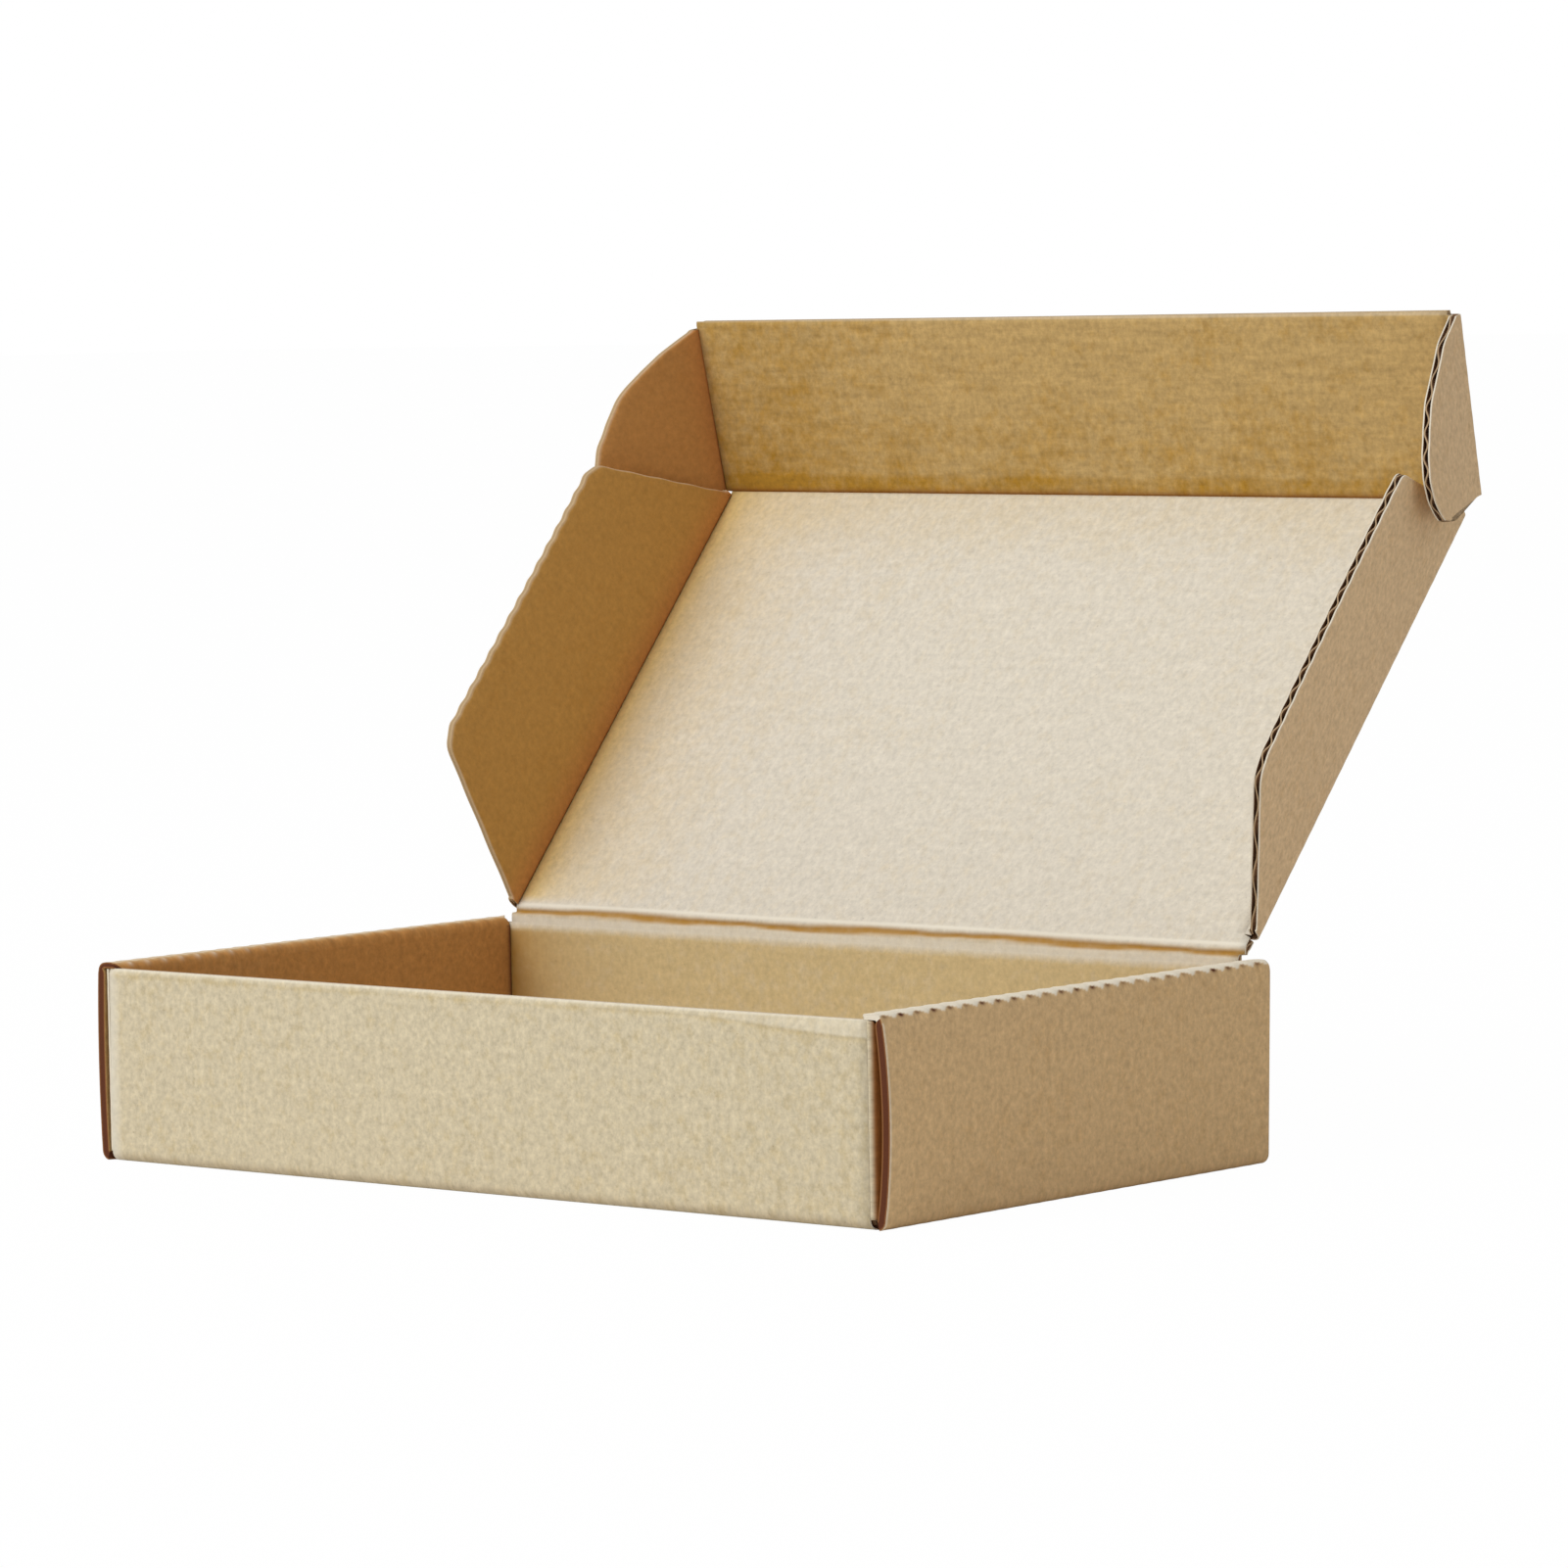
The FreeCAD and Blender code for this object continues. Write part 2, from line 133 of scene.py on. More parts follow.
def nearEdge(distance, near=0.3 * mm, far=0.9 * mm):
    # 1 along an edge, 0 further in
    return 1 - rise(distance, near, far)


def tooth(t):
    # 1 on the crest of a flute, 0 between two
    return 1 - np.abs(2 * np.mod(t / stock["pitch"], 1) - 1)


def addObject(name, data):
    thing = bpy.data.objects.new(name, data)
    bpy.context.scene.collection.objects.link(thing)
    return thing


class FoldPath:
    # a line in a plane, followed by its distance: a move is a run's length, or a turn's degrees and radius

    def __init__(self, start, heading, moves):
        self.parts = []
        point = np.array(start, float)
        angle = math.radians(heading)
        reach = 0.0
        for move in moves:
            degrees, radius = move if isinstance(move, tuple) else (0, 0)
            turn = math.radians(degrees)
            length = abs(turn) * radius if turn else move
            self.parts.append((reach, length, point.copy(), angle, turn))
            along = np.array([math.cos(angle), math.sin(angle)])
            if turn:
                side = np.array([-along[1], along[0]]) * math.copysign(radius, turn)
                after = angle + turn
                newSide = np.array([-math.sin(after), math.cos(after)]) * math.copysign(radius, turn)
                point = point + side - newSide
                angle = after
            else:
                point = point + along * length
            reach += length
        self.length = reach

    def mark(self, index):
        # where a run or a turn begins
        return self.parts[index][0]

    def at(self, distance):
        place = np.zeros(distance.shape + (2,))
        normal = np.zeros(distance.shape + (2,))
        for index, (reach, length, point, angle, turn) in enumerate(self.parts):
            last = index == len(self.parts) - 1
            inside = (distance >= reach) if index else np.ones(distance.shape, bool)
            if not last:
                inside &= distance < reach + length
            step = distance[inside] - reach
            if turn:
                bend = step / length * turn
                radius = length / turn
                place[inside, 0] = point[0] + radius * (np.sin(angle + bend) - math.sin(angle))
                place[inside, 1] = point[1] - radius * (np.cos(angle + bend) - math.cos(angle))
            else:
                bend = 0.0
                place[inside, 0] = point[0] + step * math.cos(angle)
                place[inside, 1] = point[1] + step * math.sin(angle)
            normal[inside, 0] = -np.sin(angle + bend)
            normal[inside, 1] = np.cos(angle + bend)
        return place, normal


# the order of a board's materials
leftLiner, rightLiner, linerRim, fluteInside, middleRim, paleRim = range(6)


class Board:
    # two liners and a wavy middle, swept along a fold path

    def __init__(self, name, path, origin, across, along, up, flutesAlongPath, look):
        self.name = name
        self.path = path
        directions = origin, across, along, up
        self.origin, self.across, self.along, self.up = (np.array(way, float) for way in directions)
        self.flutesAlongPath = flutesAlongPath
        self.look = look
        self.points, self.sheets = [], []
        # marks painted into the colour, in order: shade in creases, pale wear with highlights, shade where it
        # falls, light thrown back from near faces
        self.marks = {"crease": [], "worn": [], "warm": [], "glow": []}
        self.faces, self.slots, self.smooth = [], [], []
        self.count = 0

    def surface(self, s, t, offset):
        # s runs along the fold path, t along the sweep
        place, normal = self.path.at(s)
        if "warp" in self.look:
            offset = offset + self.look["warp"](s, t)
        spot = self.origin + t[..., None] * self.along
        spot = spot + (place[..., :1] + offset[..., None] * normal[..., :1]) * self.across
        spot = spot + (place[..., 1:] + offset[..., None] * normal[..., 1:]) * self.up
        if "shift" in self.look:
            spot = spot + self.look["shift"](s, t)
        return spot

    def slab(self, s, t, high, low, slots, mask=None):
        # one closed sheet between two offsets, with materials for its top, its underside and its rim
        rows, columns = s.shape
        size = rows * columns
        top = self.surface(s, t, high)
        bottom = self.surface(s, t, low)
        sample = np.cross(top[0, 1] - top[0, 0], top[1, 0] - top[0, 0])
        flip = np.dot(sample, top[0, 0] - bottom[0, 0]) < 0
        index = np.arange(size).reshape(rows, columns) + self.count
        cells = np.ones((rows - 1, columns - 1), bool) if mask is None else mask
        a, b, c, d = index[:-1, :-1], index[:-1, 1:], index[1:, 1:], index[1:, :-1]
        quads = np.stack([a, b, c, d], -1)[cells]
        upper = quads[:, ::-1] if flip else quads
        lower = (quads if flip else quads[:, ::-1]) + size
        rims = []
        padded = np.zeros((rows + 1, columns + 1), bool)
        padded[1:-1, 1:-1] = cells
        for nextTo, first, second in (
            (padded[:-2, 1:-1], a, b),
            (padded[1:-1, 2:], b, c),
            (padded[2:, 1:-1], c, d),
            (padded[1:-1, :-2], d, a),
        ):
            edge = cells & ~nextTo
            one, two = first[edge], second[edge]
            rim = np.stack([two, one, one + size, two + size], -1)
            rims.append(rim[:, ::-1] if flip else rim)
        rims = np.concatenate(rims)
        for side, spot in ((1.0, top), (-1.0, bottom)):
            self.points.append(spot.reshape(-1, 3))
            sheet = np.stack([s, t, np.full(s.shape, side * 0.5)], -1)
            self.sheets.append(sheet.reshape(-1, 3))
            for kind, values in self.marks.items():
                mark = self.look[kind](s, t, side) + 0 * s if kind in self.look else np.zeros(s.shape)
                values.append(mark.ravel())
        pale = False
        if "paleRim" in self.look:
            pale = self.look["paleRim"](s, t).ravel()[(rims[:, 0] - self.count) % size]
        rimSlots = np.where(pale, paleRim, slots[2])
        groups = (upper, slots[0], True), (lower, slots[1], True), (rims, rimSlots, False)
        for group, slot, smooth in groups:
            self.faces.append(group)
            self.slots.append(np.zeros(len(group)) + slot)
            self.smooth.append(np.full(len(group), smooth))
        self.count += 2 * size

    def squeeze(self, s, t, side):
        return self.look["squeeze"](s, t, side) if "squeeze" in self.look else np.ones(s.shape)

    def layers(self, grids, mask=None):
        # grids are (s, t) of the left liner, the middle and the right liner
        half = stock["thickness"] / 2
        for side, (s, t) in ((1, grids[0]), (-1, grids[2])):
            cross = t if self.flutesAlongPath else s
            ripple = stock["washboard"] * np.cos(2 * math.pi * cross / stock["pitch"])
            outer = side * half * self.squeeze(s, t, side) + ripple
            inner = outer - side * stock["liner"]
            if side > 0:
                self.slab(s, t, outer, inner, (leftLiner, fluteInside, linerRim), mask)
            else:
                self.slab(s, t, inner, outer, (fluteInside, rightLiner, linerRim), mask)
        s, t = grids[1]
        near, far = self.squeeze(s, t, 1), self.squeeze(s, t, -1)
        cross = t if self.flutesAlongPath else s
        centre = half * (near - far) / 2
        space = np.maximum(half * (near + far) / 2 - stock["liner"], stock["tightest"])
        thick = np.minimum(stock["middle"] / 2, space)
        wave = (space - thick) * np.cos(2 * math.pi * cross / stock["pitch"])
        if "fill" in self.look:
            filled = self.look["fill"](s, t)
            thick = thick + filled * (space - thick) * stock["packed"]
            wave = wave * (1 - filled)
        slots = fluteInside, fluteInside, middleRim
        self.slab(s, t, centre + wave + thick, centre + wave - thick, slots, mask)

    def finish(self, materials):
        mesh = bpy.data.meshes.new(self.name)
        points = np.concatenate(self.points)
        faces = np.concatenate(self.faces)
        mesh.vertices.add(len(points))
        mesh.vertices.foreach_set("co", points.astype(np.float32).ravel())
        mesh.loops.add(len(faces) * 4)
        mesh.loops.foreach_set("vertex_index", faces.astype(np.int32).ravel())
        mesh.polygons.add(len(faces))
        mesh.polygons.foreach_set("loop_start", np.arange(0, len(faces) * 4, 4, dtype=np.int32))
        mesh.polygons.foreach_set("material_index", np.concatenate(self.slots).astype(np.int32))
        mesh.polygons.foreach_set("use_smooth", np.concatenate(self.smooth))
        mesh.update(calc_edges=True)
        mesh.validate()
        sheet = mesh.attributes.new("sheet", "FLOAT_VECTOR", "POINT")
        sheet.data.foreach_set("vector", np.concatenate(self.sheets).astype(np.float32).ravel())
        for label, values in self.marks.items():
            attribute = mesh.attributes.new(label, "FLOAT", "POINT")
            attribute.data.foreach_set("value", np.concatenate(values).astype(np.float32))
        for material in materials:
            mesh.materials.append(material)
        piece = addObject(self.name, mesh)
        return piece


class Socket:
    # one output of a shader node, with sums written as Python

    def __init__(self, graph, output):
        self.graph, self.output = graph, output

    def math(self, operation, first, second, clamp=False):
        settings = {"operation": operation, "use_clamp": clamp}
        return self.graph.node("ShaderNodeMath", settings, {0: first, 1: second})

    def __add__(self, other):
        return self.math("ADD", self, other)

    def __radd__(self, other):
        return self.math("ADD", other, self)

    def __sub__(self, other):
        return self.math("SUBTRACT", self, other)

    def __rsub__(self, other):
        return self.math("SUBTRACT", other, self)

    def __mul__(self, other):
        return self.math("MULTIPLY", self, other)

    def __rmul__(self, other):
        return self.math("MULTIPLY", other, self)

    def clamped(self):
        return self.math("MULTIPLY", self, 1.0, clamp=True)


class Graph:
    # the nodes of a material or of the world

    def __init__(self, owner):
        owner.use_nodes = True
        self.tree = owner.node_tree
        self.tree.nodes.clear()

    def node(self, kind, settings=None, inputs=None, output=0):
        node = self.tree.nodes.new(kind)
        for key, value in (settings or {}).items():
            if key == "stops":
                ramp = node.color_ramp
                while len(ramp.elements) < len(value):
                    ramp.elements.new(0.5)
                for element, (position, colour) in zip(ramp.elements, value):
                    element.position = position
                    element.color = colour
            else:
                setattr(node, key, value)
        for key, value in (inputs or {}).items():
            if isinstance(value, Socket):
                self.tree.links.new(value.output, node.inputs[key])
            else:
                node.inputs[key].default_value = value
        return Socket(self, node.outputs[output]) if node.outputs else None

    def mark(self, label, output):
        return self.node("ShaderNodeAttribute", {"attribute_name": label}, output=output)

    def mix(self, factor, first, second):
        values = {"Factor": factor, "A": first, "B": second}
        return self.node("ShaderNodeMix", {"data_type": "RGBA"}, values, output=2)

    def scaled(self, vector, factors):
        return self.node("ShaderNodeVectorMath", {"operation": "MULTIPLY"}, {0: vector, 1: factors})

    def noise(self, vector, scale, detail=3.0, roughness=0.6):
        values = {"Vector": vector, "Scale": scale, "Detail": detail, "Roughness": roughness}
        return self.node("ShaderNodeTexNoise", {"noise_dimensions": "3D"}, values)

    def ramp(self, factor, stops):
        return self.node("ShaderNodeValToRGB", {"stops": stops}, {0: factor})

    def bump(self, height, strength, depth):
        values = {"Strength": strength, "Distance": depth, "Height": height}
        return self.node("ShaderNodeBump", inputs=values)


def linear(red, green, blue):
    # a colour as it is seen on screen, as light
    def one(value):
        value /= 255
        return value / 12.92 if value <= 0.04045 else ((value + 0.055) / 1.055) ** 2.4

    return (one(red), one(green), one(blue), 1.0)


def finishPaper(g, colour, roughness, specular, bump):
    values = {"Base Color": colour, "Roughness": roughness, "Specular IOR Level": specular, "Normal": bump}
    g.node("ShaderNodeOutputMaterial", inputs={"Surface": g.node("ShaderNodeBsdfPrincipled", inputs=values)})


# a liner's pattern: how fine each part of it is, and what share each has in the tone and in the relief
linerPattern = {
    "scale": {
        "cloud": 45.0, "patch": 90.0, "blotch": 200.0, "tint": 270.0,
        "streak": 480.0, "mottle": 560.0, "fibre": 1500.0, "speck": 1500.0,
    },
    "tone": {"blotch": 0.4, "mottle": 1.1, "speck": 0.25, "fibre": 0.15},
    "height": {"speck": 0.45, "fibre": 0.25, "mottle": 0.5},
    "fleckStops": [(0.30, (1, 1, 1, 1)), (0.37, (0, 0, 0, 1))],
    "fleckStrength": 0.3,
    "roughness": 0.78,
    "specular": 0.2,
    "bumpDepth": 0.11 * mm,
}


def kraft(name, look):
    # kraft liner: cloudy tone, short fibres, faint streaks along the flutes, painted shade in creases and
    # where shade falls, painted light thrown back from near faces, pale wear with painted highlights
    material = bpy.data.materials.new(name)
    g = Graph(material)
    sheet = g.mark("sheet", 1)
    creased, worn, warm, glow = (g.mark(label, 2) for label in ("crease", "worn", "warm", "glow"))
    along, across = look["grain"]
    pattern = linerPattern
    scale, tones, heights = pattern["scale"], pattern["tone"], pattern["height"]
    drawn = g.scaled(sheet, (along, across, 1.0))
    cloud = g.noise(sheet, scale["cloud"], 2.0, 0.55)
    blotch = g.noise(sheet, scale["blotch"])
    mottle = g.noise(sheet, scale["mottle"])
    speck = g.noise(sheet, scale["speck"], 2.0)
    fibre = g.noise(drawn, scale["fibre"], 2.0)
    streak = g.noise(g.scaled(sheet, (along**3, across**3, 1.0)), scale["streak"])
    patch = g.noise(drawn, scale["patch"])
    tint = g.noise(sheet, scale["tint"])
    hue = (tint - 0.5) * look["hue"] + (cloud - 0.5) * look["cloud"] + look["gold"] * (patch - 0.5)
    # random hue, plus painted shade from the warm mark, which pulls towards a darker golden tone where shade
    # falls
    colour = g.mix((hue + warm).clamped(), look["colour"], look["warm"])
    # painted light thrown back from a neighbouring face; on the dust flaps the glow colour is dark and paints
    # shade
    colour = g.mix(glow.clamped(), colour, look["glow"])
    tone = tones["blotch"] * blotch + tones["mottle"] * mottle + tones["speck"] * speck
    tone = tone + tones["fibre"] * fibre + look["streak"] * streak
    even = (sum(tones.values()) + look["streak"]) / 2
    tone = (tone - even) * look["contrast"] + 1
    colour = g.node("ShaderNodeVectorMath", {"operation": "SCALE"}, {0: colour, "Scale": tone})
    flecks = g.ramp(fibre * 0.6 + speck * 0.4, pattern["fleckStops"])
    colour = g.mix(flecks * pattern["fleckStrength"], colour, look["fibre"])
    # painted shade in creases, grooves and gaps
    shadow = creased * look["creaseStrength"] * (0.75 + 0.5 * blotch)
    colour = g.mix(shadow.clamped(), colour, look["crease"])
    # pale wear together with painted highlights
    colour = g.mix((worn * (0.8 + 0.4 * mottle)).clamped(), colour, look["worn"])
    height = heights["speck"] * speck + heights["fibre"] * fibre + heights["mottle"] * mottle
    height = height + look["streak"] * streak
    roughness = pattern["roughness"] + 0.2 * mottle
    bump = g.bump(height, look["relief"], pattern["bumpDepth"])
    finishPaper(g, colour, roughness, pattern["specular"], bump)
    return material


def cutPaper(name, dark, light):
    # the cut side of a liner or of the wavy middle
    material = bpy.data.materials.new(name)
    g = Graph(material)
    speck = g.noise(g.mark("sheet", 1), 1300.0, 3.0, 0.55)
    colour = g.ramp(speck, [(0.3, linear(*dark)), (0.7, linear(*light))])
    finishPaper(g, colour, 0.8 + 0.2 * speck, 0.15, g.bump(speck, 0.5, 0.1 * mm))
    return material


# the liners' colours: one kraft paper, in a lighter or darker copy for each face by how the light falls on
# it, which is painted light and shade
paper = {
    # in each, warm is a darker golden tone painted where shade falls, and glow is painted light thrown back
    # from a near face
    # outside of the front wall and of the dust flaps; its glow colour is dark and paints shade on the dust
    # flaps
    "pale": {"colour": (205, 192, 163), "warm": (188, 166, 116), "glow": (150, 96, 48)},
    # inside of the bottom, the rear wall, the lid and its right flap
    "cream": {"colour": (217, 209, 193), "warm": (207, 184, 136), "glow": (229, 199, 128)},
    # the other outsides, and the inside of the tray's walls
    "tan": {"colour": (208, 175, 129), "warm": (190, 148, 90), "glow": (215, 184, 143)},
    # inside of the tuck flap and the right lug, and the liners hidden in the side walls: a darker golden
    # copy, painted shade
    "gold": {"colour": (187, 156, 101), "warm": (168, 126, 44), "glow": (196, 156, 90)},
    # inside of the left side flap: painted shade, as it faces away from the light
    "ochre": {"colour": (190, 143, 75), "warm": (176, 122, 50), "glow": (196, 132, 74)},
    # inside of the left lug and the left side wall: painted shade, as they face away from the light
    "brown": {"colour": (186, 133, 74), "warm": (168, 112, 50), "glow": (190, 128, 70)},
    "fibre": (120, 84, 44),
    # painted shade in creases, in the hinge groove, and, darkest, between flutes and in gaps; then pale wear
    # with painted highlights
    "crease": (132, 76, 34),
    "groove": (176, 132, 62),
    "seam": (84, 42, 24),
    "worn": (236, 229, 212),
}
plainLook = {
    "streak": 0.0, "contrast": 0.66, "hue": 1.5, "cloud": 0.5, "gold": 0.0,
    "crease": "crease", "creaseStrength": 0.8, "relief": 0.5,
}
softLook = {"contrast": 0.44, "hue": 0.8}  # an inside that the light falls on flatly
smoothLook = {"streak": 0.3, "contrast": 0.44, "hue": 0.7, "cloud": 0.35, "relief": 0.2}  # the cream inside


def paperLook(shade, grain, **changes):
    look = {**plainLook, **changes, "grain": grain}
    look.update({key: linear(*colour) for key, colour in paper[shade].items()})
    for key, colour in (("fibre", "fibre"), ("worn", "worn"), ("crease", look["crease"])):
        look[key] = linear(*paper[colour])
    return look


alongSweep, alongPath = (1.0, 0.5), (0.75, 1.0)  # how the fibres run in a board's own directions
edges = {
    "pale": cutPaper("cut_liner", (216, 202, 176), (242, 235, 221)),
    "plain": cutPaper("worn_liner", (176, 148, 104), (206, 180, 138)),
    "soft": cutPaper("crushed_liner", (176, 158, 130), (214, 202, 182)),
    "brown": cutPaper("shaded_liner", (118, 76, 42), (158, 108, 66)),
    "middle": cutPaper("cut_middle", (150, 122, 92), (196, 170, 134)),
    "dark": cutPaper("shaded_middle", (74, 38, 24), (112, 64, 40)),
    "inside": cutPaper("flute_inside", (128, 92, 64), (168, 130, 94)),
}


def boardMaterials(label, left, right, rim="pale", middle="middle"):
    liners = [kraft(f"{label}_left_liner", left), kraft(f"{label}_right_liner", right)]
    return liners + [edges[kind] for kind in (rim, "inside", middle, "pale")]


print("materials written")

# a dust flap: the sharp fold at a corner and the flap that runs back inside the side wall
dustFlap = {
    "foldRadius": 0.5 * mm,
    "reach": 44 * mm,
    "low": 2.7 * mm,
    "high": 50.6 * mm,
    "cornerHigh": 51.5 * mm,
    "foldCrush": {"outside": 0.12, "inside": 0.72},
    "foldWidth": 0.9 * mm,
    "leftWear": 0.6,  # painted highlight on the folds at the box's left, which face the light
    "steps": {"fold": 0.12 * mm, "flap": 6 * mm, "waves": waveStep * 1.2},
}
dustMiddle = (places["sideHalf"] + places["innerHalf"]) / 2
cornerHalf = dustMiddle - dustFlap["foldRadius"]  # where the front and rear walls turn into the dust flaps


def makeDustFlap(side, end):
    piece = dustFlap
    sign = 1 if side == "right" else -1
    forward = -1 if end == "front" else 1
    radius, steps = piece["foldRadius"], piece["steps"]
    moves = [(-90, radius), piece["reach"] - radius - stock["thickness"] / 2]
    path = FoldPath((cornerHalf, places["wallHalf"]), 0, moves)
    flap = path.mark(1)

    def squeeze(s, t, liner):
        crush = piece["foldCrush"]["inside" if liner < 0 else "outside"]
        return 1 - crush * bell(s - flap / 2, piece["foldWidth"])

    look = {
        "squeeze": squeeze,
        # painted highlight on the fold at the box's left
        "worn": lambda s, t, liner: (liner > 0) * (side == "left") * piece["leftWear"] * bell(s, 0.4 * mm),
        # painted shade: the flap darkens towards the pale paper's brown glow colour as it runs into the side
        # wall
        "glow": lambda s, t, liner: (liner > 0) * rise(s, flap * 0.1, flap * 0.8),
    }
    name = f"{end}_{side}_dust_flap"
    board = Board(name, path, (0, 0, 0), (sign, 0, 0), (0, 0, 1), (0, forward, 0), True, look)
    flapStations = spread([flap, flap + 2 * mm, path.length], steps["flap"])
    stations = np.concatenate([spread([0, flap], steps["fold"]), flapStations[1:]])
    low, high = piece["low"], piece["high"]
    s, t = np.meshgrid(stations, spread([low, high], steps["waves"]), indexing="ij")
    corner = piece["cornerHigh"] - (piece["cornerHigh"] - high) * rise(s, flap * 0.6, flap)
    board.layers([(s, low + (t - low) * (corner - low) / (high - low))] * 3)
    looks = paperLook("pale", alongPath), paperLook("gold", alongPath)
    return board.finish(boardMaterials(f"{end}_{side}_dust", *looks, "soft", "dark"))


# the front wall: a strip of the bottom, the fold, and the wall up to its crushed top edge
frontWall = {
    "top": 51.7 * mm,
    "underRun": 8 * mm,
    "underHalf": 124.3 * mm,
    "topCrush": 0.5,
    "crushWidth": 1.4 * mm,
    "dentStart": 66 * mm,  # from here to the box's right the top edge is pressed flat further down
    "dentWidth": 3.2 * mm,
    "ridge": {"start": 20 * mm, "below": 0.4 * mm, "width": 0.5 * mm, "depth": 0.16},
    # strengths of the pale crushed top edge with its painted highlight, the pale pressed dent, and the
    # painted highlight on the left end's fold
    "wear": {"top": 0.5, "dent": 0.3, "leftEnd": 0.7},
    "bow": 0.35 * mm,
    "bowWaves": 21,
    "edgeRun": 6 * mm,  # the top edge's share of the wall, which has finer steps
    "steps": {"under": 2 * mm, "fold": 0.35 * mm, "edge": 0.25 * mm, "share": 0.03},
}


def makeFrontWall():
    piece = frontWall
    wear, ridge, steps = piece["wear"], piece["ridge"], piece["steps"]
    moves = [piece["underRun"], (-90, fold), piece["top"] - places["floor"] - fold]
    path = FoldPath((-places["wallHalf"] + fold + piece["underRun"], places["floor"]), 180, moves)
    corner, wall, end = path.mark(1), path.mark(2), path.length

    def dent(t):
        return piece["crushWidth"] + rise(t, piece["dentStart"], cornerHalf) * piece["dentWidth"]

    def squeeze(s, t, liner):
        near = np.clip((end - s) / dent(t), 0, 1)
        crushed = piece["topCrush"] * (1 - near) ** stock["crushPower"]
        line = bell(end - s - dent(t) - ridge["below"], ridge["width"])
        return 1 - crushed - (liner > 0) * ridge["depth"] * line * rise(t, ridge["start"], piece["dentStart"])

    # pale crushed top edge with painted highlights on it, on the pressed dent and on the left end's fold,
    # which faces the light
    def worn(s, t, liner):
        flat = rise(t, piece["dentStart"], cornerHalf) * rise(s, end - dent(t), end - dent(t) + 0.6 * mm)
        leftEnd = nearEdge(cornerHalf + t, 0.4 * mm, 1.6 * mm)
        edges = np.maximum(wear["top"] * nearEdge(end - s), wear["leftEnd"] * leftEnd)
        return np.maximum(edges, wear["dent"] * flat)

    # painted shade along the crease under the pressed top, and a warmer tone towards the box's right
    def warm(s, t, liner):
        return 0.3 * bell(end - s - dent(t) - 0.5 * mm, 0.7 * mm) + 0.15 * rise(t, 60 * mm, 130 * mm)

    look = {
        "squeeze": squeeze,
        "worn": worn,
        "warm": warm,
        # painted shade along the bottom fold
        "crease": lambda s, t, liner: 0.15 * bell(s - corner - fold * 0.8, 0.9 * mm),
        "warp": lambda s, t: piece["bow"] * np.sin(t * piece["bowWaves"] + 0.5) * rise(s, wall, end),
    }
    board = Board("front_wall", path, (0, 0, 0), (0, 1, 0), (1, 0, 0), (0, 0, 1), False, look)
    edge = end - piece["edgeRun"]
    stations = np.concatenate([
        spread([0, corner], steps["under"]),
        spread([corner + hair, wall], steps["fold"]),
        spread([wall, edge], waveStep)[1:],
        spread([edge, end], steps["edge"])[1:],
    ])
    half = np.where(stations <= corner, piece["underHalf"], cornerHalf)
    s, t = np.meshgrid(stations, spread([-1, 1], steps["share"]), indexing="ij")
    board.layers([(s, t * half[:, None])] * 3)
    looks = paperLook("pale", alongSweep), paperLook("tan", alongSweep)
    return board.finish(boardMaterials("front", *looks))


# a rolled side wall: a strip of the bottom, the outer panel, the roll over the top, the inner panel, its tabs
sideWall = {
    "underRun": 9 * mm,
    "outerEnd": 78.4 * mm,
    "innerEnd": 76.3 * mm,
    "rearLean": 1.8 * mm,  # the outer panel's rear edge leans back
    "endKnee": 70 * mm,  # beyond this the ends take their slant
    "innerFoot": 2.7 * mm,
    "tabHalf": 18 * mm,
    "tabMiddle": 38 * mm,
    "slotSlack": 0.2 * mm,
    "foldWidth": 1.1 * mm,
    "foldCrush": {"outside": 0.12, "inside": 0.6},
    "scallop": 0.4 * mm,  # how deep the outside sinks between two flutes at the folds
    "cornerPress": 0.72,
    "bow": {"right": 1.9 * mm, "left": 0.6 * mm},
    "bowReach": 26 * mm,
    "bandTooth": 1.05 * mm,  # painted light on the band along the top, which faces up into the light, and how its border follows the flutes
    "bandWear": {"right": 0.85, "left": 0.4},
    "bandEnd": {"right": 0.5 * mm, "left": 0.6 * mm},
    "rimWear": {"right": 0.5, "left": 0.0},
    "nickWear": {"right": 0.0, "left": 0.55},
    # painted shadow in a dark spot between each two flutes under the top fold
    "spot": {"strength": 1.5, "width": 0.19, "drop": 0.62 * mm, "height": 0.42 * mm},
    "seamWidth": 1.1 * mm,
    "endFill": 0.3 * mm,
    "seed": 5,
    "steps": {
        "corner": 0.4 * mm, "outer": 4 * mm, "firstRoll": 0.15 * mm, "lastRoll": 0.24 * mm,
        "inner": 8 * mm, "tab": 2.7 * mm, "waves": waveStep * 1.25,
    },
}


